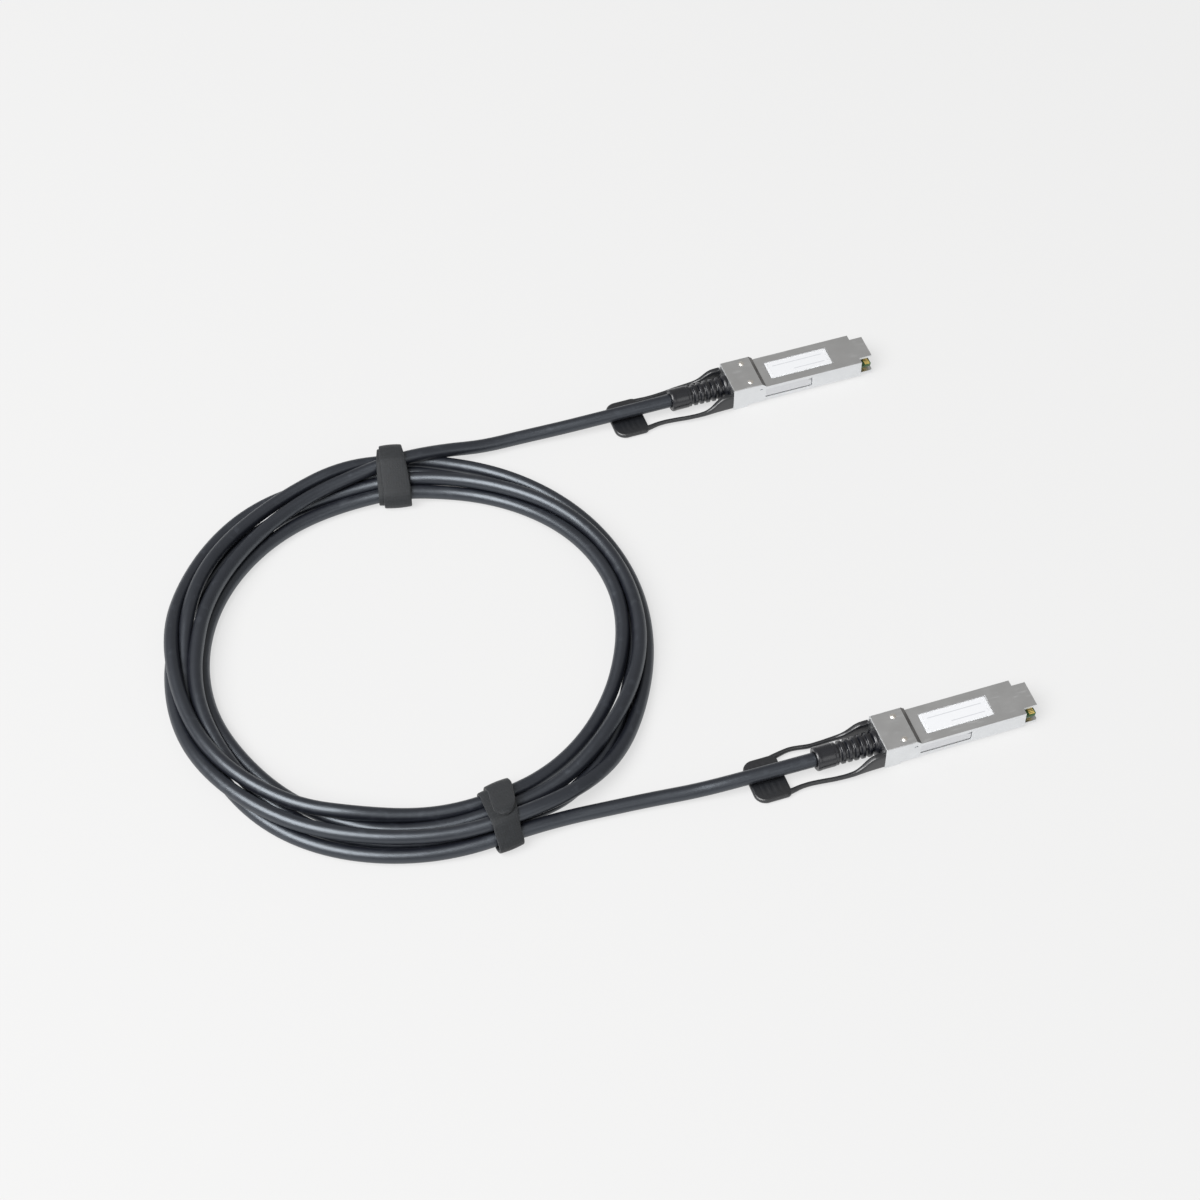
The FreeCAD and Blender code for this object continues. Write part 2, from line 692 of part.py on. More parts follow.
def strainReliefBoot(label):
    """Moulded boot: flange and neck held in the block, ribs that let it bend, and a
    plain sleeve. Slots come in pairs, one pair from above and below and the next from
    both sides, so that webs join the ribs. The body's X axis is the cable's."""
    body = newBody(label)
    start = -bayRear
    wall = -s.blockLength
    sleeve = -bootRearEnd + s.sleeveLength
    profile = [
        (start, 0),
        (start + s.flangeThick, 0),
        (start + s.flangeThick, s.flangeDiameter / 2),
        (start, s.flangeDiameter / 2),
        (start, s.neckDiameter / 2),
        (wall, s.neckDiameter / 2),
        (wall, s.bootFront / 2),
        (wall - s.collarLength, s.bootFront / 2),
        (wall - s.collarLength, s.ribDiameter / 2),
        (sleeve, s.ribDiameter / 2),
        (sleeve, s.bootRear / 2),
        (-bootRearEnd, s.bootRear / 2),
        (-bootRearEnd, 0),
    ]
    half = drawSketch(body, "half", "XZ_Plane", [profile])
    turned = feature(body, "PartDesign::Revolution", "turned")
    turned.Profile = half
    turned.ReferenceAxis = (half, ["H_Axis"])
    turned.Angle = 360
    first = wall - s.slotStart
    deep, out = s.slotFloor, s.bootFront
    cuts = []
    for name, role, behind in (("upright", "XZ_Plane", 0), ("sideways", "XY_Plane", 1)):
        front = first - s.slotPitch * behind
        both = [
            rectangle(front - s.slotWidth, front, deep, out),
            rectangle(front - s.slotWidth, front, -out, -deep),
        ]
        cut = drawSketch(body, name + "_face", role, both)
        cuts.append(pocket(body, name, cut, 2 * s.bootFront, midplane=True))
    row = feature(body, "PartDesign::LinearPattern", "slot_row")
    row.Originals = cuts
    row.Direction = (half, ["H_Axis"])
    row.Reversed = True
    row.Length = 4 * s.slotPitch.number
    bind(row, "Length", 4 * s.slotPitch)
    row.Occurrences = 3
    body.Tip = row
    return body


# ---- latch

def releaseSlider(label):
    """Folded steel slider: a bridge under the block, two arms along the nose whose
    wedges push the port's latches out, and an ear on each for its return spring."""
    body = newBody(label)
    inner, outer = s.armFace, s.armFace + s.sheetThick
    low, floor = s.bridgeBottom, s.bridgeBottom + s.sheetThick
    bend = s.bendRound + s.sheetThick
    right = [
        (inner, s.armTop),
        (inner, floor + s.bendRound),
        (inner - s.bendRound, floor),
    ]
    outside = [
        (outer - bend, low),
        (outer, low + bend),
        (outer, s.armTop),
    ]
    section = (
        [(-a, b) for a, b in right]
        + [(a, b) for a, b in reversed(right)]
        + [(a, b) for a, b in reversed(outside)]
        + [(-a, b) for a, b in outside]
    )
    face = drawSketch(body, "section", "YZ_Plane", [section], -s.armRear)
    pad(body, "folded", face, s.armRear + s.armFront)
    spare = [
        rectangle(-s.armRear - 1, -s.bridgeRear, 0, s.armBottom),
        rectangle(-s.bridgeFront, s.armFront + 1, 0, s.armBottom),
    ]
    cut = drawSketch(body, "spare", "XZ_Plane", spare)
    pocket(body, "trimmed", cut, 4 * s.armFace, midplane=True)
    ears = bothSides(earRear, earFront, s.springOut - s.springDiameter / 2, inner + 0.1)
    earPlan = drawSketch(body, "ear_plan", "XY_Plane", ears, s.springHeight - s.earHeight / 2)
    pad(body, "ears", earPlan, s.earHeight)
    tip = s.armFront
    wedge = [
        (tip - s.flareLength, outer - 0.1),
        (tip, outer - 0.1),
        (tip, outer + s.flareOut),
        (tip - s.flareLength / 3, outer + s.flareOut),
    ]
    wedges = [wedge, [(a, -b) for a, b in wedge]]
    middle = (s.armTop + s.armBottom) / 2
    wedgePlan = drawSketch(body, "wedge_plan", "XY_Plane", wedges, middle - s.flareHeight / 2)
    pad(body, "wedges", wedgePlan, s.flareHeight)
    return body


def returnSpring(label):
    """Compression spring as a plain rod of its outer size, along the body's X axis."""
    body = newBody(label)
    face = drawSketch(body, "face", "YZ_Plane", [(0, 0, s.springDiameter / 2)])
    pad(body, "envelope", face, s.springLength)
    return body


def pullTab(label):
    """Moulded pull tab: two roots gripped on the slider's arms, two slender arms that
    swing round the boot, and a grip that lies under the cable. The plan gives its
    outline and window, and the side view cuts it to height."""
    body = newBody(label)
    rootFront = -s.blockLength - s.tabGap
    rootRear = rootFront - s.rootLength
    rear, front = -s.tabReach, -s.tabReach + s.gripLength
    wide, corner, arm = s.gripWidth / 2, s.gripCorner, s.tabArm
    # the arm's outer edge, root to grip: in past the boot, then out to the grip
    outer = [
        (rootFront, s.rootOut),
        (rootRear, s.rootOut),
        (rootRear - 3, s.rootOut - 0.6),
        (-37, s.rootOut - 1.2),
        (-46, s.rootOut - 1.6),
        (-52, s.rootOut - 0.9),
        (front - 1, wide),
    ]
    rounded = []
    for step in range(5):
        turn = math.radians(22.5 * step)
        rounded.append(
            (rear + corner * (1 - math.sin(turn)), wide - corner * (1 - math.cos(turn)))
        )
    left = outer + rounded
    outline = left + [(x, -y) for x, y in reversed(left)]
    inner = [
        (rootFront + 1, s.rootIn),
        (rootRear, s.rootIn),
        (rootRear - 3, s.rootOut - 0.6 - arm),
        (-37, s.rootOut - 1.2 - arm),
        (-46, s.rootOut - 1.6 - arm),
        (-52, s.rootOut - 0.9 - arm),
        (front, s.rootOut - 1.6 - arm),
    ]
    window = inner + [(x, -y) for x, y in reversed(inner)]
    plan = drawSketch(body, "plan", "XY_Plane", [outline], 0)
    pad(body, "slab", plan, s.rootTop)
    hole = drawSketch(body, "window_plan", "XY_Plane", [window], s.rootTop)
    pocket(body, "window", hole, s.rootTop)

    armTop = s.tabArmBottom + s.tabArmThick
    gripTop = s.gripBottom + s.gripThick
    over = [
        (rootFront + 1, s.rootTop + 1),
        (rootFront + 1, s.rootTop),
        (rootFront - 4.6, s.rootTop),
        (rootRear - 2, armTop),
        (-44, armTop),
        (front + 2, gripTop),
        (rear - 1, gripTop),
        (rear - 1, s.rootTop + 1),
    ]
    under = [
        (rootFront + 1, -1),
        (rootFront + 1, s.tabArmBottom),
        (-42, s.tabArmBottom),
        (front + 4, s.gripBottom),
        (rear - 1, s.gripBottom),
        (rear - 1, -1),
    ]
    side = drawSketch(body, "side", "XZ_Plane", [over, under])
    pocket(body, "shaped", side, 2 * s.gripWidth, midplane=True)
    ridges = []
    for place_ in range(4):
        start = rear + 4 + 2.6 * place_
        ridges.append(rectangle(start, start + 1, gripTop - s.gripRidge, gripTop + 1))
    ridgeSide = drawSketch(body, "ridge_side", "XZ_Plane", ridges)
    pocket(body, "ridges", ridgeSide, s.gripWidth - 5, midplane=True)
    slots = bothSides(-s.armRear, rootFront + 1, s.armFace, s.armFace + s.sheetThick)
    slotPlan = drawSketch(body, "slot_plan", "XY_Plane", slots, s.armTop)
    pocket(body, "arm_slots", slotPlan, s.armTop - s.armBottom)
    return body


# ---- rivets and label

def shellRivets(label):
    """Two pins pressed through the cover, whose ends stand a little proud of it."""
    body = newBody(label, several=True)
    pins = [(-s.rivetBack, y, s.rivetDiameter / 2) for y in (s.rivetOut, -s.rivetOut)]
    plan = drawSketch(body, "plan", "XY_Plane", pins, s.rivetFoot)
    pad(body, "pins", plan, blockTop + s.rivetProud - s.rivetFoot)
    return body


def bareLabel(label):
    """Bare label in its shallow seat on the cover."""
    body = newBody(label)
    outline = rectangle(
        s.labelRear, s.labelRear + s.labelLength, -s.labelWidth / 2, s.labelWidth / 2
    )
    plan = drawSketch(body, "plan", "XY_Plane", [outline], noseTop - s.labelSink)
    pad(body, "sheet", plan, s.labelThick)
    return body


# ---- cable: two free ends, the coil between them, and the straps

def roundedPath(points):
    """Straight runs joined by tangent arcs, each as large as its two runs allow."""
    spots = [Vector(*p) for p in points]
    edges = []
    radii = []
    start = spots[0]
    for before, corner, after in zip(spots, spots[1:], spots[2:]):
        back, ahead = before - corner, after - corner
        shorter = min(back.Length, ahead.Length)
        back.normalize()
        ahead.normalize()
        half = (math.pi - back.getAngle(ahead)) / 2
        inset = 0.45 * shorter
        radii.append(inset / math.tan(half))
        first, last = corner + back * inset, corner + ahead * inset
        toCentre = (back + ahead).normalize()
        reach = math.hypot(inset, radii[-1])
        middle = corner + toCentre * (reach - radii[-1])
        edges.append(Part.LineSegment(start, first).toShape())
        edges.append(Part.Arc(first, middle, last).toShape())
        start = last
    edges.append(Part.LineSegment(start, spots[-1]).toShape())
    return Part.Wire(edges), radii


def tube(points, diameter):
    """Round cable along a route."""
    path, radii = roundedPath(points)
    along = Vector(*points[1]) - Vector(*points[0])
    ring = Part.Wire([Part.Circle(Vector(*points[0]), along, diameter / 2).toShape()])
    solid = path.makePipeShell([ring], True, False)
    ideal = math.pi * diameter ** 2 / 4 * path.Length
    if abs(solid.Volume / ideal - 1) > 0.01:
        raise ValueError("the cable's volume does not match its length")
    print("cable run %.1f mm, tightest bend %.0f mm" % (path.Length, min(radii)))
    return solid


def asFeature(label, shape):
    piece = doc.addObject("Part::Feature", label)
    piece.Label = label
    piece.Shape = shape
    piece.Placement = FreeCAD.Placement()
    return piece


cable = s.cableDiameter.number
restAxis = cable / 2 + s.sagLift.number
plugAxis = s.cableAxis.number
plugY = s.plugSpacing.number / 2

# from each boot's rear end, level over the pull tab's grip, then down to the coil
leadA = [
    ((plugAX - bootRearEnd).number, plugY, plugAxis),
    (-59.0, plugY, plugAxis),
    (-97.0, plugY + 3.2, restAxis + 0.1),
    (-135.0, plugY + 6.1, restAxis),
]
leadB = [
    ((plugBX - bootRearEnd).number, -plugY, plugAxis),
    (-71.0, -plugY, plugAxis),
    (-106.0, -plugY + 4.5, restAxis + 0.1),
    (-141.0, -plugY + 7.7, restAxis),
]


def strapFrame(angle):
    """Turn about Z that lays a strap's Y axis along the coil's radius."""
    return angle - 90


def strapRoom(angle, inner, span, rise, margin):
    """The space inside a strap, shrunk by margin, in the object's frame."""
    width = s.strapWidth.number + 4
    room = Part.makeBox(
        width, span - 2 * margin, rise - 2 * margin,
        Vector(-width / 2, inner + margin, s.strapThick.number + margin),
    )
    return turned(room, angle)


def turned(shape, angle):
    shape = shape.copy()
    rotation = Rotation(Vector(0, 0, 1), strapFrame(angle))
    centre = Vector(s.coilX.number, s.coilY.number, 0)
    shape.Placement = FreeCAD.Placement(centre, rotation)
    return shape


def waist(angle, inner, span, rise):
    """What a strap takes away from the coil: a slab as wide as the strap, less its room."""
    gap = s.strapGap.number
    width = s.strapWidth.number + 2 * (gap + s.tabShift.number)
    slab = Part.makeBox(width, span + 30, 40, Vector(-width / 2, inner - 15, -10))
    return turned(slab, angle).cut(strapRoom(angle, inner, span, rise, gap))


def ovalFace(centre, radiusX, radiusY):
    """Oval of four tangent arcs that meet at 45 degrees, its two half-widths given."""
    shift = (radiusY - radiusX) / (2 - math.sqrt(2))
    side, end = radiusX + shift, radiusY - shift
    corner = Vector(side, side, 0) / math.sqrt(2) - Vector(shift, 0, 0)
    joints = [Vector(a * corner.x, b * corner.y, 0) for a, b in ((1, 1), (-1, 1), (-1, -1), (1, -1))]
    crowns = [Vector(0, radiusY, 0), Vector(-radiusX, 0, 0), Vector(0, -radiusY, 0), Vector(radiusX, 0, 0)]
    arcs = []
    for first, crown, last in zip(joints, crowns, joints[1:] + joints[:1]):
        arcs.append(Part.Arc(centre + first, centre + crown, centre + last).toShape())
    return Part.Face(Part.Wire(arcs))


def stub(lead):
    """Start of a free end inside the coil: it goes straight on into the strap."""
    end, before = Vector(*lead[-1]), Vector(*lead[-2])
    along = (end - before).normalize()
    return Part.makeCylinder(cable / 2, s.stubLength.number, end, along)


def cableCoil(label):
    """Outer shape of the coiled turns: an oval ring with the start of each free end,
    drawn in where the straps go round it."""
    centre = Vector(s.coilX.number, s.coilY.number, 0)
    shift = Vector(s.coilInnerShift.number, 0, 0)
    outer = ovalFace(centre, s.coilOuterX.number, s.coilOuterY.number)
    inner = ovalFace(centre + shift, s.coilInnerX.number, s.coilInnerY.number)
    ring = outer.cut(inner).extrude(Vector(0, 0, s.coilHeight.number))
    rims = [edge for edge in ring.Edges if edge.BoundBox.ZMin > s.coilBevel.number]
    ring = ring.makeChamfer(s.coilBevel.number, rims)
    ring.translate(Vector(0, 0, s.sagLift.number))
    whole = ring.fuse([stub(leadA), stub(leadB)])
    for angle, inside, span, rise in straps.values():
        whole = whole.cut(waist(angle, inside, span, rise))
    return asFeature(label, whole.removeSplitter())


def strap(label, angle, inner, span, rise, flip):
    """Hook-and-loop strap: a flat loop round the cable and its free end on top."""
    body = newBody(label)
    thick = s.strapThick
    outside = rectangle(inner - thick, inner + span + thick, 0, rise + 2 * thick)
    inside = rectangle(inner, inner + span, thick, thick + rise)
    face = drawSketch(body, "section", "YZ_Plane", [outside, inside])
    loop = pad(body, "loop", face, s.strapWidth, midplane=True)
    top = (rise + 2 * thick).number
    low, high = (inner - thick).number, (inner + span + thick).number
    dress(
        body,
        "PartDesign::Fillet",
        "corners",
        loop,
        lambda box: box.XLength > 1
        and (near(box.ZMax, 0) or near(box.ZMin, top))
        and (near(box.YMax, low) or near(box.YMin, high)),
        "Radius",
        s.strapRound,
    )
    # the free end starts at one edge of the loop and ends in a rounded tip
    start, sense = (inner + span, -1) if flip else (inner, 1)
    half, askew = s.strapWidth / 2, s.tabShift
    tip = []
    for step in range(9):
        turn = math.radians(-90 + 22.5 * step)
        reach = s.tabLap - half + half * math.cos(turn)
        tip.append((half * math.sin(turn) + askew, start + sense * reach))
    flap = [(askew - half, start), *tip, (askew + half, start)]
    plan = drawSketch(body, "flap_plan", "XY_Plane", [flap], rise + 2 * thick)
    pad(body, "flap", plan, thick)
    return body


straps = {
    "upper": tuple(v.number for v in (s.upperAngle, s.upperInner, s.upperSpan, s.upperRise)),
    "lower": tuple(v.number for v in (s.lowerAngle, s.lowerInner, s.lowerSpan, s.lowerRise)),
}

# ---- assembly

parts = []
for plug, plugX, side in (("plug_a", plugAX, 1), ("plug_b", plugBX, -1)):
    at = (plugX, side * s.plugSpacing / 2)
    for name, make in (
        ("upper_shell", upperShell),
        ("lower_shell", lowerShell),
        ("paddle_card", paddleCard),
        ("contact_pads", contactPads),
        ("memory_chip", memoryChip),
        ("coupling_capacitors", couplingCapacitors),
        ("lead_mould", leadMould),
        ("twinax_leads", twinaxLeads),
        ("crimp_ring", crimpRing),
        ("release_slider", releaseSlider),
        ("pull_tab", pullTab),
        ("shell_rivets", shellRivets),
        ("label", bareLabel),
    ):
        body = make(plug + "_" + name)
        place(body, at[0], at[1], 0)
        parts.append(body)
    boot = strainReliefBoot(plug + "_strain_relief_boot")
    place(boot, at[0], at[1], s.cableAxis)
    parts.append(boot)
    for hand, sign in (("left", 1), ("right", -1)):
        spring = returnSpring("%s_return_spring_%s" % (plug, hand))
        place(
            spring, at[0] + s.springRear + s.springGap, at[1] + sign * s.springOut, s.springHeight
        )
        parts.append(spring)

parts.append(asFeature("cable_lead_a", tube(leadA, cable)))
parts.append(asFeature("cable_lead_b", tube(leadB, cable)))
parts.append(cableCoil("cable_coil"))
for name, angle, inner, span, rise, flip in (
    ("strap_upper", s.upperAngle, s.upperInner, s.upperSpan, s.upperRise, True),
    ("strap_lower", s.lowerAngle, s.lowerInner, s.lowerSpan, s.lowerRise, False),
):
    band = strap(name, angle, inner, span, rise, flip)
    place(band, s.coilX, s.coilY, 0, angle - 90)
    parts.append(band)

doc.recompute()

# ---- checks and files

faults = [
    obj.Label for obj in doc.Objects if "Invalid" in obj.State or "Error" in obj.State
]
for piece in parts:
    if piece.Shape.isNull() or not piece.Shape.isValid() or piece.Shape.Volume <= 0:
        faults.append(piece.Label + " has no valid solid")
    if piece.TypeId != "PartDesign::Body":
        continue
    steps = [f for f in piece.Group if f.isDerivedFrom("PartDesign::Feature")]
    for before, after in zip(steps, steps[1:]):
        change = after.Shape.Volume - before.Shape.Volume
        adds = after.TypeId == "PartDesign::Pad"
        if abs(change) < 1e-6 or (change > 0) != adds:
            faults.append(after.Label + " adds or cuts nothing")
if faults:
    raise RuntimeError("model faults: " + ", ".join(faults))

os.makedirs("parts", exist_ok=True)
for piece in parts:
    piece.Shape.exportStep("parts/" + piece.Label + ".step")
print(len(parts), "pieces written")
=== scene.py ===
from math import cos, pi, radians, sin

import bmesh
import bpy
import numpy as np
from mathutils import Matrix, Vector


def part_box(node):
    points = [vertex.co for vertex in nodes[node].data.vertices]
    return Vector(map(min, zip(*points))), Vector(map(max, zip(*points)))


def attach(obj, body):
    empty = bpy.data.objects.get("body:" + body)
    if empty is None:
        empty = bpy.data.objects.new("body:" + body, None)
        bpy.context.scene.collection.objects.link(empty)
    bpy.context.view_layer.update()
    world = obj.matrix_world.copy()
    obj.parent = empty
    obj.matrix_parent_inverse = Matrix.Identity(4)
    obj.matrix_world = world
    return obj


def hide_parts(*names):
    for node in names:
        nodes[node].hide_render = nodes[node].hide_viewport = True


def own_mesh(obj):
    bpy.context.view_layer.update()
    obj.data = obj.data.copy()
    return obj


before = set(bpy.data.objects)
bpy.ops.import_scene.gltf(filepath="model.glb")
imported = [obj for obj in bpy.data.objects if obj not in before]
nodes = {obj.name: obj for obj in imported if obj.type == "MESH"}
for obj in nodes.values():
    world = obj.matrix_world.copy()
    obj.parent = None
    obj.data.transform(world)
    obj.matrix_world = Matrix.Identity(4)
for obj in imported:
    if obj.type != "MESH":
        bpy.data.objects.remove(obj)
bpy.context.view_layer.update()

mm = 0.001
sides = ("a", "b")

# The scene is in metres and the dictionaries are in mm and degrees, unless a note says
# otherwise. +X is the way both plugs point, +Z is up, and the cable lies on z = 0.


# ---- shader maths written as expressions

class Wire:  # one socket; the operators add Math nodes
    def __init__(self, look, socket):
        self.look, self.socket = look, socket

    def math(self, operation, *values):
        return self.look.node("ShaderNodeMath", {"operation": operation}, dict(enumerate(values)))

    def __add__(self, other):
        return self.math("ADD", self, other)

    def __rsub__(self, other):
        return self.math("SUBTRACT", other, self)

    def __mul__(self, other):
        return self.math("MULTIPLY", self, other)

    __radd__ = __add__

    def smooth(self, low, high):  # 0 below low, 1 above high, eased between
        settings = {"interpolation_type": "SMOOTHSTEP"}
        values = {"Value": self, "From Min": low, "From Max": high}
        return self.look.node("ShaderNodeMapRange", settings, values)

    def wave(self, pitch):  # 0..1 ripple of that pitch
        return self.math("SINE", self * (2 * pi / pitch)) * 0.5 + 0.5


class Look:  # a node tree and the one way to add a node to it
    def __init__(self, owner):
        owner.use_nodes = True
        self.owner, self.tree = owner, owner.node_tree
        self.tree.nodes.clear()

    def node(self, kind, settings=None, values=None, output=0):
        made = self.tree.nodes.new(kind)
        for key, value in (settings or {}).items():
            setattr(made, key, value)
        for key, value in (values or {}).items():
            if isinstance(value, Wire):
                self.tree.links.new(value.socket, made.inputs[key])
            else:
                made.inputs[key].default_value = value
        return Wire(self, made.outputs[output] if made.outputs else None)

    def place(self, scale=(1, 1, 1)):  # object coordinates, stretched
        coords = self.node("ShaderNodeTexCoord", output="Object")
        return self.node("ShaderNodeMapping", None, {"Vector": coords, "Scale": scale})

    def grain(self, size, place=None, detail=3.0):  # noise whose lumps are about size metres
        values = {"Vector": place or self.place(), "Scale": 1 / size, "Detail": detail}
        return self.node("ShaderNodeTexNoise", None, values)

    def mix(self, amount, first, second):  # the node's colour sockets are 6, 7 and output 2
        return self.node("ShaderNodeMix", {"data_type": "RGBA"}, {0: amount, 6: first, 7: second}, 2)

    def own(self, axis):  # X or Y of the piece's own coordinates
        place = self.node("ShaderNodeUVMap", {"uv_map": "own"})
        return self.node("ShaderNodeSeparateXYZ", None, {"Vector": place}, axis)

    def bump(self, height, depth, under=None):  # depth in metres for a height of 1
        values = {"Height": height, "Distance": depth, "Strength": 1.0}
        if under:
            values["Normal"] = under
        return self.node("ShaderNodeBump", None, values)

    def surface(self, **values):  # names as on the Principled node, with _ for a space
        named = {key.replace("_", " "): value for key, value in values.items()}
        shader = self.node("ShaderNodeBsdfPrincipled", None, named)
        self.node("ShaderNodeOutputMaterial", None, {"Surface": shader})
        return self.owner


def newLook(name):
    return Look(bpy.data.materials.new(name))


def rgb(red, green, blue):
    return (red, green, blue, 1.0)


def grey(tone):
    return rgb(tone, tone, tone)


# ---- camera, floor and light

view = {  # metres, and mm for the lens and the sensor
    "eye": (-0.3363, -0.6933, 0.9121), "aim": (-0.09455, 0.0087, 0.0),
    "lens": 81.8, "sensor": 36, "near": 0.01, "far": 30,
}
lamps = {  # metres
    "key": {"from": (-0.575, -0.183, 0.80), "distance": 3.4, "size": 3.0, "watts": 200.0},
    "fill": {"from": (0.25, -0.9, 0.55), "distance": 3.0, "size": 1.8, "watts": 8.0},
}
sky = {"overhead": 0.31, "horizon": 0.36, "tint": (1, 0.97, 0.93), "ease": (0.05, 0.6)}
# the floor is partly lit and partly glows: the glow's tone and share, and the lit tone;
# its half width and its depth below z = 0 are in metres
floor = {"glow": 0.906, "even": 0.72, "lit": 0.56, "reach": 6, "drop": 1e-4}


def addCamera():
    camera = bpy.data.objects.new("camera", bpy.data.cameras.new("camera"))
    camera.data.lens, camera.data.sensor_width = view["lens"], view["sensor"]
    camera.data.clip_start, camera.data.clip_end = view["near"], view["far"]
    camera.location = view["eye"]
    aim = Vector(view["aim"]) - Vector(view["eye"])
    camera.rotation_euler = aim.to_track_quat("-Z", "Y").to_euler()
    bpy.context.collection.objects.link(camera)
    bpy.context.scene.camera = camera


def addLamp(name, values):
    lamp = bpy.data.lights.new(name, "AREA")
    lamp.shape, lamp.size, lamp.energy = "DISK", values["size"], values["watts"]
    thing = bpy.data.objects.new(name, lamp)
    way = Vector(values["from"]).normalized()
    thing.location = Vector(view["aim"]) + way * values["distance"]
    thing.rotation_euler = (-way).to_track_quat("-Z", "Y").to_euler()
    bpy.context.collection.objects.link(thing)


def addFloor():
    look = newLook("paleFloor")
    lit = look.node("ShaderNodeBsdfDiffuse", None, {"Color": grey(floor["lit"])})
    glow = look.node("ShaderNodeEmission", None, {"Color": grey(floor["glow"]), "Strength": 1.0})
    seen = look.node("ShaderNodeLightPath", output="Is Camera Ray")
    seen = seen + look.node("ShaderNodeLightPath", output="Is Glossy Ray")
    seen = seen + look.node("ShaderNodeLightPath", output="Is Transmission Ray")
    both = look.node("ShaderNodeMixShader", None, {0: seen * floor["even"], 1: lit, 2: glow})
    look.node("ShaderNodeOutputMaterial", None, {"Surface": both})
    mesh = bpy.data.meshes.new("floor")
    far, level = floor["reach"], -floor["drop"]
    corners = [(x * far, y * far, level) for x, y in ((-1, -1), (1, -1), (1, 1), (-1, 1))]
    mesh.from_pydata(corners, [], [(0, 1, 2, 3)])
    mesh.materials.append(look.owner)
    ground = bpy.data.objects.new("floor", mesh)
    bpy.context.collection.objects.link(ground)


def addSky():  # paler at the horizon, greyer and warmer overhead
    world = bpy.data.worlds.new("studio")
    bpy.context.scene.world = world
    look = Look(world)
    up = look.node("ShaderNodeTexCoord", output="Generated")
    height = look.node("ShaderNodeSeparateXYZ", None, {"Vector": up}, "Z")
    overhead = rgb(*(sky["overhead"] * share for share in sky["tint"]))
    tone = look.mix(height.smooth(*sky["ease"]), grey(sky["horizon"]), overhead)
    shine = look.node("ShaderNodeBackground", None, {"Color": tone, "Strength": 1.0})
    look.node("ShaderNodeOutputWorld", None, {"Surface": shine})


bpy.context.scene.view_settings.view_transform = "Standard"
addCamera()
addFloor()
addSky()
for name, values in lamps.items():
    addLamp(name, values)
print("camera, floor and light: done")


# ---- making and placing pieces

def gridPiece(name, points, uv=None):
    # points[i, j] is the surface at its two parameters, and each quad joins four neighbours;
    # the last column joins the first, and points that fall together are merged
    rows, columns = points.shape[:2]
    i, j = np.arange(rows - 1)[:, None], np.arange(columns)[None, :]
    after = (j + 1) % columns
    corners = [i * columns + j, (i + 1) * columns + j]
    corners += [(i + 1) * columns + after, i * columns + after]
    faces = np.stack(corners, -1).reshape(-1, 4)
    mesh = bpy.data.meshes.new(name)
    mesh.from_pydata(points.reshape(-1, 3).tolist(), [], faces.tolist())
    if uv is not None:
        layer = mesh.uv_layers.new(name="own")
        at = np.empty(len(mesh.loops), int)
        mesh.loops.foreach_get("vertex_index", at)
        layer.data.foreach_set("uv", uv.reshape(-1, 2)[at].ravel())
    work = bmesh.new()
    work.from_mesh(mesh)
    bmesh.ops.remove_doubles(work, verts=work.verts, dist=1e-7)
    bmesh.ops.recalc_face_normals(work, faces=work.faces)
    work.to_mesh(mesh)
    work.free()
    mesh.shade_smooth()
    piece = bpy.data.objects.new(name, mesh)
    bpy.context.collection.objects.link(piece)
    return piece


def closeEnds(points):  # adds the middle of the first and the last row, so both ends close
    first, last = points[:1].mean(1, keepdims=True), points[-1:].mean(1, keepdims=True)
    spread = np.ones((1, points.shape[1], 1))
    return np.concatenate([first * spread, points, last * spread])


softening = {
    "flat": 0.8, "sharp": 30, "segments": 2,
    "merge": 2e-6, "slack": 1e-6, "cut": 1e-7,  # metres
}
ramp = {
    "blockTop": 12.1, "foot": 10.35, "run": 2.0,
    # a face belongs to the slope, which gets a painted shade, from this much lean and this area in
    # square metres
    "lean": 0.4, "least": 8e-6,
}


def softened(name, node, bevel, slope=None):
    # a copy of a solid's mesh as flat faces, with its edges rounded; slope, two points as x
    # and z, first cuts off what stands above their line, from the second point backwards
    mesh = nodes[node].data.copy()
    work = bmesh.new()
    work.from_mesh(mesh)
    bmesh.ops.remove_doubles(work, verts=work.verts, dist=softening["merge"])
    if slope:
        (x, z), (endX, endZ) = slope
        limit = endX + softening["slack"]
        faces = [f for f in work.faces if all(v.co.x < limit for v in f.verts)]
        touched = {v for f in faces for v in f.verts} | {e for f in faces for e in f.edges}
        bmesh.ops.bisect_plane(
            work, geom=faces + list(touched), dist=softening["cut"], clear_outer=True,
            plane_co=(endX, 0, endZ), plane_no=(z - endZ, 0, endX - x),
        )
        rim = [e for e in work.edges if e.is_boundary]
        bmesh.ops.holes_fill(work, edges=rim, sides=0)
        bmesh.ops.recalc_face_normals(work, faces=work.faces)
    flat = radians(softening["flat"])
    bmesh.ops.dissolve_limit(work, angle_limit=flat, verts=work.verts, edges=work.edges)
    work.to_mesh(mesh)
    work.free()
    if slope:  # own coordinates: 1 on faces that look up and forward, 0 elsewhere; the 1 marks where the material paints shade on the slope
        layer = mesh.uv_layers.new(name="own")
        for face in mesh.polygons:
            facing = min(face.normal.x, face.normal.z) > ramp["lean"] and face.area > ramp["least"]
            for loop in face.loop_indices:
                layer.data[loop].uv = (float(facing), 0.5)
    mesh.shade_smooth()
    mesh.materials.clear()
    piece = bpy.data.objects.new(name, mesh)
    bpy.context.collection.objects.link(piece)
    edge = piece.modifiers.new("softEdges", "BEVEL")
    edge.width, edge.segments, edge.limit_method = bevel, softening["segments"], "ANGLE"
    edge.angle_limit = radians(softening["sharp"])
    piece.modifiers.new("evenNormals", "WEIGHTED_NORMAL").keep_sharp = True
    return piece


def dress(piece, paint, slot, body, *stoodFor):
    piece.data.materials.clear()
    piece.data.materials.append(paint)
    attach(piece, body)
    if stoodFor:
        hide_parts(*stoodFor)
    return piece


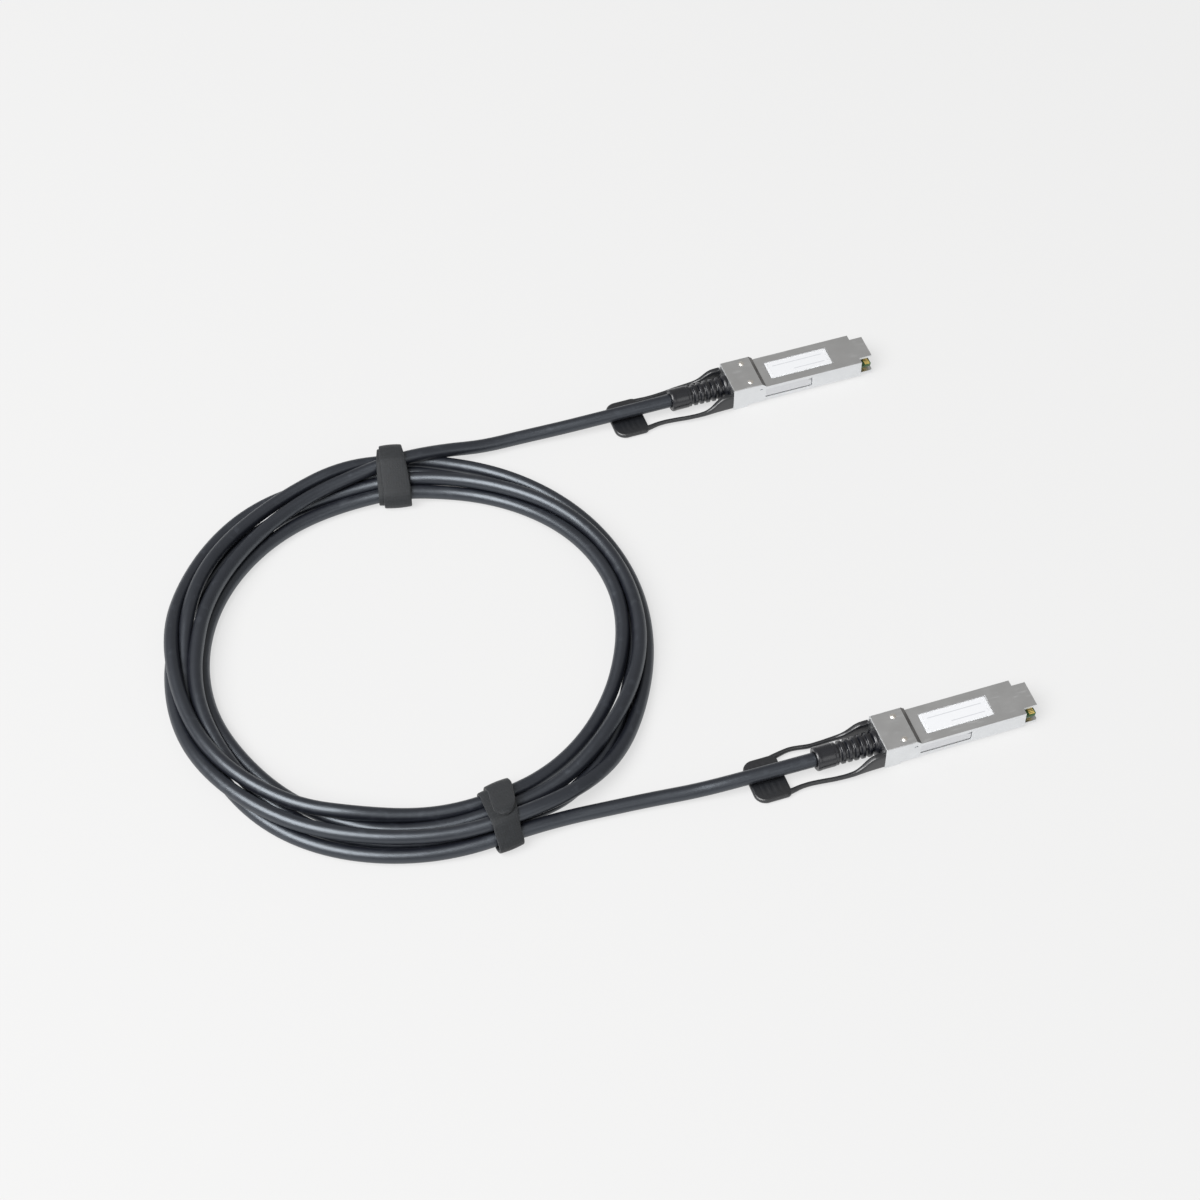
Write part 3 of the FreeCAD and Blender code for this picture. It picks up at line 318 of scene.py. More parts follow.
def paintNode(node, paint):
    for held in nodes[node].material_slots:
        held.material = paint


# ---- the cable: one cord from boot to boot

cable = {
    "diameter": 6.3, "drawn": 6.1, "lowest": 3.2, "centre": (-180.25, 8.7),
    "startAngle": 57.0, "endAngle": 1732.0,
    "perTurn": 48, "order": 3, "steps": 4, "rings": 9,
    "tailA": [(-28.05, 104.2, 6.3), (-56, 104.2, 6.3), (-80, 105.6, 4.7), (-98, 106.9, 3.9)],
    "tailB": [
        (-128, -97.7, 3.2), (-109, -99.2, 3.2), (-91, -101.4, 3.5), (-73, -103.8, 6.3),
        (-40.75, -104.2, 6.3),
    ],
}

# Half turns from strap to strap, alternately the left and the right half of the coil.
# Each point is the angle in degrees, the radius and the height of the cable's middle in mm.
halfTurns = [
    [
        (55.6, 119.6, 4.4), (61.8, 111.2, 6.0), (67.3, 104.8, 7.9), (72, 101.0, 9.6),
        (78, 97.6, 10.2), (84, 95.4, 9.7), (91, 93.6, 9), (110, 89.6, 9), (130, 87.4, 9.3),
        (150, 88.2, 9.4), (170, 89.6, 9.2), (190, 92.6, 8.3), (205, 93.6, 7.5), (216, 95.0, 6),
        (225, 98.6, 3.8), (233, 100.8, 3.2), (243, 100.4, 3.2), (256, 100.2, 3.2),
        (268, 99.9, 3.4), (277.6, 99.6, 4.8),
    ],
    [
        (283, 102.6, 3.6), (288, 104.8, 3.2), (295, 104.8, 3.2), (302, 102.2, 3.2),
        (310, 99.4, 3.2), (318, 96.6, 3.2), (328, 94.8, 3.2), (350, 94.2, 3.2), (375, 94.4, 3.2),
        (390, 96.3, 3.2), (402, 96.8, 3.2), (418, 95.7, 3.2), (432, 96.4, 3.2), (437.6, 97.4, 4.8),
    ],
    [
        (86, 98.2, 3.4), (94, 99.2, 3.2), (102, 101.8, 3.2), (110, 104.3, 3.2), (118, 105.4, 3.2),
        (126, 104.6, 3.2), (138, 102.7, 4.2), (148, 101.6, 6.8), (157, 100.4, 8.7),
        (170, 98.4, 9), (190, 97.7, 8.8), (208, 97.4, 9.2), (222, 95.5, 9.4), (235, 92.5, 8.6),
        (244, 90.3, 6), (252, 89.2, 4), (264, 89, 3.3), (277.6, 89, 4.8),
    ],
    [
        (284, 88.9, 4), (300, 88.9, 3.2), (312, 88.8, 3.2), (322, 89.0, 4.6), (333, 90, 7),
        (345, 91.4, 8.6), (358, 91.8, 8.9), (375, 91.2, 8.8), (385, 90.6, 8.2), (392, 90.4, 6.2),
        (399, 90.4, 3.6), (407, 90.0, 3.2), (420, 88.1, 3.2), (430, 86.7, 3.4),
        (437.6, 85.5, 4.8),
    ],
    [
        (85, 84.9, 3.7), (96, 85.1, 3.2), (110, 85.6, 3.2), (125, 85.6, 3.2), (150, 86.2, 3.2),
        (170, 87.2, 3.2), (190, 88.6, 3.2), (210, 89.9, 3.2), (228, 91.4, 3.2),
        (246, 94.0, 3.2), (265, 94.8, 3.2), (277.6, 94.5, 4.7),
    ],
    [
        (285, 94.4, 4), (292, 98.4, 4.2), (298, 97.8, 6.8), (305, 97.0, 9), (313, 96.9, 9.2),
        (330, 97.2, 9), (341, 98.3, 8.5), (360, 97.8, 8.2), (380, 96.9, 8.2), (395, 95.2, 8.2),
        (410, 93.0, 8), (425, 91.0, 8), (437.6, 90.7, 7.8),
    ],
    [
        (84, 91.1, 4.6), (91, 91.2, 3.2), (112, 93.2, 3.2), (130, 94.2, 3.2), (142, 94.8, 3.2),
        (150, 95.8, 3.2), (158, 98.0, 3.2), (172, 99.9, 3.2), (183, 100.4, 3.7),
        (191, 101.3, 5.3), (200, 103.1, 8),
        (213, 104.1, 9.2), (228, 103.0, 9.1), (243, 101.1, 8.4), (256, 101.2, 8.2),
        (268, 102.4, 8.8), (277.6, 102.4, 10),
    ],
    [
        (285, 103.4, 9.3), (293, 105.6, 8), (301, 106.2, 5.6), (310, 104.8, 3.6), (320, 102, 3.2),
        (335, 100.2, 3.2), (350, 100.4, 3.2), (372, 101.6, 3.2), (392, 102.9, 3.2),
        (418, 104.4, 3.2), (430, 104.3, 3.4), (437.6, 103.9, 4.8),
    ],
    [
        (84, 102.8, 6.2), (90, 100.8, 8.6), (98, 99.4, 9.2), (106, 97.9, 9), (113, 97.3, 8.2),
        (121, 97.2, 7.2), (130, 97.3, 8), (142, 96.3, 9.3), (153, 95.3, 9), (161, 94.8, 6.6),
        (168, 94.6, 4.1), (175, 94.7, 3.2), (190, 98.8, 3.2), (205, 100.4, 3.2), (215, 104.0, 3.2),
        (225, 106.3, 3.2), (235, 107, 3.2), (246, 106.8, 3.2), (260, 105.6, 3.3),
        (270, 105, 3.8), (277.6, 105.4, 4.8), (285.2, 108, 3.4), (291.6, 112.6, 3.2),
        (297, 118.6, 3.2),
    ],
]


strapAngles = {"upper": 77.6, "lower": 277.6}
settle = {
    "margin": 15, "fineness": 5, "blur": 2.4, "blurReach": 9,  # evening out the half turns
    "gap": 0.06, "laps": 4, "passes": 2, "push": 0.5, "mostPush": 1.5,  # keeping turns apart
    "rounds": 500, "pull": 0.08, "lift": 0.03, "fall": 0.02, "smooth": 0.05,
    "strapRise": 1.62, "strapReach": 11, "strapEase": 5.5,
}


def layCoil():
    # the half turns read as one line of radius and height against the angle, evened out over
    # a few degrees, then settled: it falls, and turns side by side push each other apart
    knots = np.array([
        (a + 360 * (k // 2), r, z) for k, row in enumerate(halfTurns) for a, r, z in row
    ])
    every, margin, reach = settle["fineness"], settle["margin"], settle["blurReach"]
    step = 360 / cable["perTurn"]
    fine = np.arange(cable["startAngle"] - margin, cable["endAngle"] + margin, step / every)
    spread = np.exp(-0.5 * (np.arange(-reach, reach + 1) / settle["blur"]) ** 2)
    spread /= spread.sum()
    radius, height = (
        np.convolve(np.interp(fine, knots[:, 0], knots[:, k]), spread, "same")[::every]
        for k in (1, 2)
    )
    angle = fine[::every]
    kept = (angle >= cable["startAngle"]) & (angle <= cable["endAngle"])
    angle, radius, height = angle[kept], radius[kept], height[kept]
    aimRadius, aimHeight = radius.copy(), height.copy()
    turn, apart = cable["perTurn"], cable["drawn"] + settle["gap"]
    # near a strap the cable lies on the strap's thickness
    away = np.min([np.abs((angle - at + 180) % 360 - 180) for at in strapAngles.values()], 0)
    raised = np.clip((settle["strapReach"] - away) / settle["strapEase"], 0, 1)
    ground = cable["lowest"] + settle["strapRise"] * raised
    for _ in range(settle["rounds"]):
        radius += settle["pull"] * (aimRadius - radius)
        height += settle["lift"] * (aimHeight - height) - settle["fall"]
        for line in (radius, height):
            line[1:-1] += settle["smooth"] * (line[:-2] - 2 * line[1:-1] + line[2:])
        for _ in range(settle["passes"]):
            for laps in range(1, settle["laps"] + 1):
                near, far = slice(0, -turn * laps), slice(turn * laps, None)
                across, rise = radius[far] - radius[near], height[far] - height[near]
                gap = np.hypot(across, rise) + 1e-9
                push = settle["push"] * np.clip(apart - gap, 0, settle["mostPush"]) / gap
                radius[far] += push * across
                radius[near] -= push * across
                height[far] += push * rise
                height[near] -= push * rise
            height = np.maximum(height, ground)
    return angle, radius, height


def coilPoints(angle, radius, height):
    # x and y are the centre plus the radius turned by the angle; the radius is a little more,
    # because the spline runs through the middles of its control polygon's sides
    reach = radius / cos(radians(180 / cable["perTurn"]))
    turned = np.radians(angle)
    x = cable["centre"][0] + reach * np.cos(turned)
    y = cable["centre"][1] + reach * np.sin(turned)
    return np.stack([x, y, height], -1)


coilAngle, coilRadius, coilHeight = layCoil()
routePoints = np.concatenate(
    [cable["tailA"], coilPoints(coilAngle, coilRadius, coilHeight), cable["tailB"]]
) * mm


def addCable():
    curve = bpy.data.curves.new("cable", "CURVE")
    curve.dimensions = "3D"
    curve.resolution_u = curve.render_resolution_u = cable["steps"]
    curve.bevel_depth, curve.bevel_resolution = cable["drawn"] / 2 * mm, cable["rings"]
    curve.use_fill_caps = True
    line = curve.splines.new("NURBS")
    line.points.add(len(routePoints) - 1)
    line.points.foreach_set("co", np.c_[routePoints, np.ones(len(routePoints))].ravel())
    line.order_u, line.use_endpoint_u, line.use_smooth = cable["order"], True, True
    piece = bpy.data.objects.new("cable", curve)
    bpy.context.collection.objects.link(piece)
    return piece


def jacketLook():
    look = newLook("cableJacket")
    cloud, fine = look.grain(0.018), look.grain(0.0007, detail=2.0)
    scuff = look.grain(0.004, look.place((1, 1, 0.4)), 5.0).smooth(0.56, 0.72)
    tint = look.mix(cloud, rgb(0.004, 0.0045, 0.008), rgb(0.008, 0.009, 0.014))
    tint = look.mix(scuff * 0.2, tint, rgb(0.03, 0.034, 0.045))
    rough = 0.36 + cloud * 0.07 + scuff * 0.08
    normal = look.bump(cloud, 0.0003, look.bump(fine, 0.000012))
    return look.surface(
        Base_Color=tint, Roughness=rough, Normal=normal, IOR=1.53, Specular_IOR_Level=1.0,
        Specular_Tint=rgb(0.84, 0.92, 1.0),
    )


jacket = jacketLook()
cord = dress(
    addCable(), jacket, "jacket", "cable", "cable_coil", "cable_lead_a", "cable_lead_b"
)
print("cable: %d control points" % len(routePoints))


# ---- hook-and-loop straps

straps = {
    "upper": {
        "angle": strapAngles["upper"], "lap": 42.0, "start": -5.0, "round": 1.5, "way": 1,
        "outerShift": 0.6, "innerShift": -0.4, "apart": 1.1, "lapWidth": 0.92,
    },
    "lower": {
        "angle": strapAngles["lower"], "lap": 22.5, "start": 190.0, "round": 5.6, "way": -1,
        "outerShift": -4.4, "innerShift": 0.6, "apart": -1.4, "lapWidth": 0.80,
    },
    "width": 13.2, "narrow": 0.82, "thick": 1.35, "crown": 0.35, "edge": 0.5, "grip": 0.05,
    "turnAt": 96, "facing": 3.0, "step": 0.45, "columns": 10,
    "lapRise": 5, "lapGap": 0.05, "endDrop": 0.7, "endThin": 0.02, "tipShare": 0.97,
    "swap": 1.6, "outerDraw": 0.7,
}


def strapLook():
    look = newLook("strapWeave")
    along, side = look.own("X"), look.own("Y")
    loops = look.grain(0.00045, detail=4.0)
    tufts = look.grain(0.0016, detail=3.0)
    weave = along.wave(0.0009) * side.wave(0.0011)
    nap = loops * 0.6 + tufts * 0.35 + weave * 0.15
    tint = look.mix(nap.smooth(0.25, 0.85), rgb(0.005, 0.006, 0.0072), rgb(0.018, 0.021, 0.025))
    return look.surface(
        Base_Color=tint, Roughness=0.62 + tufts * 0.15, Normal=look.bump(nap, 0.00022),
        Sheen_Weight=0.12, Sheen_Roughness=0.45, Specular_IOR_Level=0.5,
    )


def bundleAt(angle):  # radius and height of each turn's middle at that angle
    eased = [np.convolve(line, (0.125, 0.75, 0.125), "same") for line in (coilRadius, coilHeight)]
    at = [angle + 360 * k for k in range(6) if coilAngle[1] < angle + 360 * k < coilAngle[-2]]
    return np.stack([np.interp(at, coilAngle, line) for line in eased], -1)


def bandSection():
    # a rectangle with rounded corners: place across, place out
    half, thick, edge = straps["width"] / 2, straps["thick"], straps["edge"]
    bend = np.radians(np.arange(0, 91, 22.5))
    quarter = np.stack([np.cos(bend), np.sin(bend)], -1) * edge
    wide, upper = half - edge, thick - edge
    section = []
    for k, (u, v) in enumerate(((wide, upper), (-wide, upper), (-wide, edge), (wide, edge))):
        c, s = cos(k * pi / 2), sin(k * pi / 2)
        section.append(quarter @ np.array([[c, s], [-s, c]]) + (u, v))
    flats = np.concatenate(section)
    count, columns = len(quarter), straps["columns"]
    spread = np.linspace(wide, -wide, columns + 2)[1:-1]
    top = np.stack([spread, np.full(columns, thick)], -1)
    under = np.stack([-spread, np.zeros(columns)], -1)
    return np.concatenate([flats[:count], top, flats[count:3 * count], under, flats[3 * count:]])


def strapPiece(name, size):
    # The line round the bundle is the outline of discs on the turns' middles: in each
    # direction, the furthest middle plus the disc's radius. The band follows it once and
    # then laps over itself, stepping out by its own thickness.
    half, thick = straps["width"] / 2, straps["thick"]
    degrees = np.degrees(half / straps["turnAt"])
    middles = np.concatenate([bundleAt(size["angle"] + turn) for turn in (-degrees, 0, degrees)])
    face = np.radians(np.arange(0, 360, straps["facing"]) * size["way"] + size["start"])
    normal = np.stack([np.cos(face), np.sin(face)], -1)
    reach = middles @ normal.T
    radius = cable["drawn"] / 2 + straps["grip"]
    loop = middles[reach.argmax(0)] + radius * normal
    loop = np.concatenate([loop, loop[:1]])
    turned = np.concatenate([face, face[:1] + 2 * pi * size["way"]])
    run = np.r_[0, np.cumsum(np.linalg.norm(np.diff(loop, axis=0), axis=1) + 1e-6)]
    total = run[-1]
    along = np.arange(0, total + size["lap"], straps["step"])
    at = along % total
    line = np.stack([np.interp(at, run, loop[:, k]) for k in (0, 1)], -1)
    way = np.interp(at, run, turned)
    outward = np.stack([np.cos(way), np.sin(way)], -1)
    rise = straps["lapRise"]
    step = np.clip((along - total + rise) / rise, 0, 1)
    lift = (thick + straps["lapGap"]) * step * step * (3 - 2 * step)

    # both ends draw in: the free end to its rounded shape, the hidden end to a square one
    fromEnd = along[-1] - along
    tip = size["round"]
    short = np.clip(1 - fromEnd / tip, 0, 1)
    drawnIn = min(1, tip / half) * straps["tipShare"]
    width = 1 - (1 - np.sqrt(np.clip(1 - short**2, 0, 1))) * drawnIn
    dropped = np.clip(1 - fromEnd / straps["endDrop"], 0, 1)
    thin = np.sqrt(np.clip(1 - dropped**2, straps["endThin"], 1))
    # the band is narrower on the outside of the coil and crowned across its width
    outer = np.clip((line[:, 0] - middles[:, 0].min()) / np.ptp(middles[:, 0]), 0, 1)
    width = width * (1 - (1 - straps["narrow"]) * outer**2) * (1 - (1 - size["lapWidth"]) * step)
    # the first layer and the lap lie a little to either side of the line, the more so inside
    beside = size["apart"] * (1 - straps["swap"] * step) * (1 - straps["outerDraw"] * outer)
    lean = size["innerShift"] + (size["outerShift"] - size["innerShift"]) * outer
    flats = bandSection()
    across = flats[None, :, 0] * width[:, None] + (beside + lean)[:, None]
    crown = straps["crown"] * (1 - (flats[:, 0] / half) ** 2) * (flats[:, 1] > thick / 2)
    out = lift[:, None] + thick / 2 + (flats[None, :, 1] + crown - thick / 2) * thin[:, None]
    place = line[:, None, :] + outward[:, None, :] * out[..., None]

    c, s = cos(radians(size["angle"])), sin(radians(size["angle"]))
    x = cable["centre"][0] + place[..., 0] * c - across * s
    y = cable["centre"][1] + place[..., 0] * s + across * c
    points = closeEnds(np.stack([x, y, place[..., 1]], -1)) * mm
    points[..., 2] = np.maximum(points[..., 2], 0)
    uv = np.stack(np.broadcast_arrays(along[:, None], across), -1) * mm
    uv = np.concatenate([uv[:1], uv, uv[-1:]])
    return gridPiece(name, points, uv=uv)


strapPaint = strapLook()
strapPieces = [
    dress(strapPiece(f"{which}_strap", straps[which]), strapPaint, "strap", "cable", f"strap_{which}")
    for which in ("upper", "lower")
]
print("straps: done")


# ---- plug finishes

def castLook(name, shaded=False):  # satin plated zinc: fine grain, faint handling marks
    look = newLook(name)
    grain, cloud = look.grain(0.00022, detail=2.0), look.grain(0.006)
    marks = look.grain(0.0012, look.place((0.15, 1, 1)), 4.0).smooth(0.58, 0.70)
    tint = look.mix(cloud, rgb(0.76, 0.775, 0.79), rgb(0.85, 0.865, 0.88))
    if shaded:  # the slope at the step gets a painted shade: dark metal where the piece's own coordinates mark it
        tint = look.mix(look.own("X").smooth(0.1, 0.9), tint, rgb(0.13, 0.125, 0.12))
    rough = 0.30 + cloud * 0.06 + marks * 0.08 + grain * 0.05
    return look.surface(
        Base_Color=tint, Metallic=1.0, Roughness=rough,
        Normal=look.bump(grain + marks * 0.4, 0.00002),
    )


def brushedLook(name, dark, pale, rough, lay=(0.06, 1, 1), metallic=1.0):
    # metal with drawn lines
    look = newLook(name)
    lines, cloud = look.grain(0.0002, look.place(lay), 4.0), look.grain(0.003)
    tint = look.mix(lines * 0.6 + cloud * 0.4, dark, pale)
    return look.surface(
        Base_Color=tint, Metallic=metallic, Roughness=rough + lines * 0.12,
        Normal=look.bump(lines, 0.000008),
    )


def boardLook():  # solder mask over glass weave
    look = newLook("cardMask")
    weave = look.grain(0.0006, look.place((1, 1, 0.1)), 1.0)
    cloud = look.grain(0.004)
    tint = look.mix(cloud * 0.6 + weave * 0.4, rgb(0.020, 0.060, 0.018), rgb(0.060, 0.130, 0.045))
    return look.surface(
        Base_Color=tint, Roughness=0.30 + weave * 0.12, Normal=look.bump(weave, 0.00003),
        Coat_Weight=0.25, Coat_Roughness=0.2,
    )


def rubberLook(name, dark, pale, rough, depth):  # moulded rubber with a fine spark texture
    look = newLook(name)
    grain, cloud = look.grain(0.00030, detail=3.0), look.grain(0.005)
    tint = look.mix(cloud * 0.7 + grain * 0.3, dark, pale)
    return look.surface(
        Base_Color=tint, Roughness=rough + grain * 0.12 + cloud * 0.05,
        Normal=look.bump(grain, depth), Specular_IOR_Level=0.9,
    )


def foilLook():
    look = newLook("pairFoil")
    crease = look.grain(0.0014, look.place((0.5, 1, 1)), 5.0)
    tint = look.mix(crease, rgb(0.62, 0.63, 0.65), rgb(0.84, 0.85, 0.87))
    return look.surface(
        Base_Color=tint, Metallic=1.0, Roughness=0.22 + crease * 0.2,
        Normal=look.bump(crease, 0.0002),
    )


def capacitorLook():
    look = newLook("capacitorBody")
    cloud, speck = look.grain(0.0011), look.grain(0.0002)
    tint = look.mix(cloud.smooth(0.35, 0.65), rgb(0.36, 0.25, 0.14), rgb(0.56, 0.50, 0.44))
    return look.surface(
        Base_Color=tint, Roughness=0.35 + speck * 0.2, Normal=look.bump(speck, 0.00001)
    )


label = {
    "length": 30.0, "width": 10.0, "corner": 0.7, "thick": 0.12,
    "rings": 14, "lastRing": 0.985, "lipDrop": 0.03,
    # ruled lines: place across, start and end along, then their half widths and faded ends
    "lines": [(2.1, 3.0, 27.0), (-2.3, 12.0, 27.0)],
    "lineInner": 0.14, "lineOuter": 0.22, "lineFade": 0.1,
}


def labelLook():  # bare stock with two plain ruled lines
    look = newLook("labelStock")
    x, y = look.own("X"), look.own("Y")
    fibre = look.grain(0.0003, detail=4.0)
    inner, outer, fade = (label[key] for key in ("lineInner", "lineOuter", "lineFade"))
    ink = None
    for row, start, end in label["lines"]:
        line = y.smooth((row - outer) * mm, (row - inner) * mm)
        line = line * (1 - y.smooth((row + inner) * mm, (row + outer) * mm))
        line = line * x.smooth((start - fade) * mm, start * mm)
        line = line * (1 - x.smooth(end * mm, (end + fade) * mm))
        ink = line if ink is None else ink + line
    paper = look.mix(fibre, rgb(0.60, 0.61, 0.63), rgb(0.65, 0.66, 0.68))
    tint = look.mix(ink * 0.55, paper, rgb(0.30, 0.31, 0.34))
    return look.surface(
        Base_Color=tint, Roughness=0.42 + fibre * 0.1, Normal=look.bump(fibre, 0.000006)
    )


# the upper shells' material also paints shade on the slope at the step
cast, castTopPaintedShade = castLook("castShell"), castLook("castTopPaintedShade", True)
blackRubber = rubberLook(
    "bootRubber", rgb(0.004, 0.0045, 0.007), rgb(0.008, 0.009, 0.013), 0.20, 0.00001
)
tabRubber = rubberLook(
    "tabRubber", rgb(0.004, 0.005, 0.0065), rgb(0.010, 0.011, 0.014), 0.30, 0.00002
)
sliderSteel = brushedLook("sliderSteel", rgb(0.66, 0.67, 0.69), rgb(0.80, 0.81, 0.83), 0.26)
springSteel = brushedLook("springSteel", rgb(0.42, 0.42, 0.44), rgb(0.60, 0.60, 0.62), 0.24)
rivetSteel = brushedLook("rivetSteel", rgb(0.86, 0.83, 0.78), rgb(0.95, 0.92, 0.87), 0.30, (1, 1, 1))
brass = brushedLook("crimpBrass", rgb(0.60, 0.50, 0.32), rgb(0.76, 0.66, 0.45), 0.28)
gold = brushedLook("padGold", rgb(0.90, 0.62, 0.16), rgb(0.97, 0.74, 0.26), 0.30, metallic=0.6)
chipBlack = rubberLook(
    "chipMould", rgb(0.014, 0.014, 0.015), rgb(0.03, 0.03, 0.033), 0.45, 0.00001
)
leadMould = rubberLook(
    "leadMould", rgb(0.022, 0.022, 0.024), rgb(0.045, 0.045, 0.048), 0.4, 0.00003
)
board, foil, capacitor, stock = boardLook(), foilLook(), capacitorLook(), labelLook()
print("finishes: done")


# ---- strain relief boots

boot = {
    "tail": 27.6, "block": 15.7, "flangeThick": 1.3, "flange": 4.7, "neck": 3.8,
    "collar": 5.7, "collarLength": 1.7, "rib": 5.35, "ribRear": 4.85, "sleeve": 5.05,
    "sleeveLength": 8.0, "slots": 6, "slotStart": 2.3, "slotPitch": 2.9, "slotWidth": 1.3,
    "slotFloor": 3.6, "ring": 0.8, "soft": 0.5, "mouth": 3.25, "mouthDepth": 4.0,
    "rim": 0.55, "lip": 0.12, "lipAt": 1.2, "lipWidth": 0.8, "frontDrop": 0.35, "frontEase": 0.7,
    "frontFrom": 0.5, "leastLean": 0.2, "step": 0.14, "facing": 3.0, "axisHeight": 6.3,
}


def softStep(x, middle, width):  # 0 to 1 across the middle, eased over the width
    t = np.clip((x - middle) / width + 0.5, 0, 1)
    return t * t * (3 - 2 * t)


def turnedRadius(x):  # the boot's radius before its slots are cut
    wall, soft, sleeveEnd = boot["tail"], boot["soft"], boot["sleeveLength"]
    ribs = boot["ribRear"] + (boot["rib"] - boot["ribRear"]) * (x - sleeveEnd) / (wall - sleeveEnd)
    radius = boot["sleeve"] + (ribs - boot["sleeve"]) * softStep(x, sleeveEnd, soft)
    collarAt = wall - boot["collarLength"]
    radius = radius + (boot["collar"] - radius) * softStep(x, collarAt, soft)
    dropped = softStep(x, wall, boot["frontEase"]) * (x > wall - boot["frontFrom"])
    radius = radius - boot["frontDrop"] * dropped
    return radius + np.exp(-(((x - boot["lipAt"]) / boot["lipWidth"]) ** 2)) * boot["lip"]


def bootPiece(name, heelX, axisY, bay):
    # radius against x and the angle round the axis: the turned profile, less each slot,
    # whose flat bed stands slotFloor from the axis on two opposite sides, while a
    # shallow ring joins them across the webs
    wall, rim, soft = boot["tail"], boot["rim"], boot["soft"]
    x = np.arange(rim, wall + 0.001, boot["step"])
    face = np.radians(np.arange(0, 360, boot["facing"]))
    grid = np.repeat(turnedRadius(x)[:, None], len(face), 1)
    for k in range(boot["slots"]):
        front = wall - boot["slotStart"] - boot["slotPitch"] * k
        middle, half = front - boot["slotWidth"] / 2, boot["slotWidth"] / 2
        mask = softStep(x, middle - half, soft) * (1 - softStep(x, middle + half, soft))
        lean = np.abs(np.sin(face) if k % 2 == 0 else np.cos(face))
        bed = boot["slotFloor"] / np.maximum(lean, boot["leastLean"])
        cut = np.maximum(grid - bed[None, :], boot["ring"])
        grid = grid - mask[:, None] * cut
    # rear mouth, then the flange and neck inside the block
    turn = np.radians(np.arange(0, 91, 18))
    bore, inside, tip = boot["mouth"], boot["mouthDepth"], wall + bay + boot["flangeThick"]
    rear = [(inside, 0.0), (inside, bore), (0.5, bore), (0.12, bore + 0.15)]
    rear += [(rim - rim * sin(t), boot["sleeve"] - rim + rim * cos(t)) for t in turn[::-1]]
    front = [
        (wall, boot["neck"]), (wall + bay, boot["neck"]), (wall + bay, boot["flange"]),
        (tip, boot["flange"]), (tip, 0.0),
    ]
    xs = np.r_[[p[0] for p in rear], x, [p[0] for p in front]]
    before, after = (np.repeat([[p[1]] for p in part], len(face), 1) for part in (rear, front))
    radii = np.concatenate([before, grid, after])
    points = np.stack([
        np.repeat(xs[:, None], len(face), 1) + heelX / mm,
        radii * np.cos(face) + axisY / mm,
        radii * np.sin(face) + boot["axisHeight"],
    ], -1) * mm
    return gridPiece(name, points)


for side in sides:
    node = f"plug_{side}_strain_relief_boot"
    low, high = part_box(node)
    middle = (low[1] + high[1]) / 2
    bay = (high[0] - low[0]) / mm - boot["tail"] - boot["flangeThick"]
    piece = bootPiece(f"boot_{side}", low[0], middle, bay)
    dress(piece, blackRubber, "boot", "cable", node)
print("boots: done")


# ---- shells, slider, crimp ring

metalPieces = {  # the edges' radius, the material and its slot
    "upper_shell": (0.18, castTopPaintedShade, "shell_metal"),
    "lower_shell": (0.22, cast, "shell_metal"),
    "release_slider": (0.10, sliderSteel, "slider_steel"),
    "crimp_ring": (0.15, brass, "crimp"),
}


def stepFace(side):  # x of the block's front, from the boot's rear end
    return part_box(f"plug_{side}_strain_relief_boot")[0][0] + (boot["tail"] + boot["block"]) * mm


for side in sides:
    step = stepFace(side)
    line = ((step - ramp["run"] * mm, ramp["blockTop"] * mm), (step, ramp["foot"] * mm))
    for kind, (bevel, paint, slotName) in metalPieces.items():
        node = f"plug_{side}_{kind}"
        slope = line if kind == "upper_shell" else None
        piece = softened(f"{kind}_{side}", node, bevel * mm, slope)
        body = f"release_{side}" if kind == "release_slider" else "cable"
        dress(piece, paint, slotName, body, node)
print("shells and sliders: done")


# ---- pull tabs: two arms and a grip, one moulding

tab = {
    # x behind the step face, arm's middle from the centre line, half width, low and high
    "arm": [
        (-16.05, 8.8, 1.38, 1.5, 9.5), (-18.5, 8.8, 1.4, 1.5, 9.5), (-21.0, 8.85, 1.4, 1.5, 9.1),
        (-23.5, 9.0, 1.35, 1.5, 7.4), (-26.0, 9.35, 1.2, 1.5, 5.2), (-29.0, 9.7, 1.05, 1.6, 3.9),
        (-33.0, 9.7, 0.95, 1.6, 3.5), (-38.0, 9.35, 0.95, 1.5, 3.4), (-43.0, 8.6, 0.95, 1.3, 3.2),
        (-48.0, 8.0, 0.95, 1.1, 3.0), (-52.0, 8.0, 0.98, 0.9, 2.85), (-55.5, 8.5, 1.15, 0.6, 2.7),
        (-58.5, 8.9, 1.3, 0.5, 2.5), (-60.5, 8.9, 0.9, 0.7, 2.3),
    ],
    "armRows": 110, "armFacing": 12, "armEase": 7,
    "round": 2.3, "rootSquare": 2.5, "rootAt": -24.0, "rootSpan": 8.0,
    # how far the far arm bows out on each plug, and where
    "bow": {"a": 0.6, "b": 2.9}, "bowAt": -50.0, "bowSpan": 7.5,
    "rear": -71.8, "front": -56.3, "halfWidth": 10.7, "rearCorner": 5.0, "frontCorner": 2.4,
    "low": 0.3, "high": 2.6, "edge": 0.95, "outlineCount": 150, "topRings": 26, "underRings": 10,
    # ridges: depth, pitch, first crest, how sharp, then the field's ends, half width and fades
    "ridge": 0.06, "ridgePitch": 2.6, "ridgeFrom": 4.5, "ridgeSharp": 3,
    "field": (3.4, 13), "fieldFade": 0.8, "fieldHalf": 7.9, "fieldSideFade": 1.0,
}


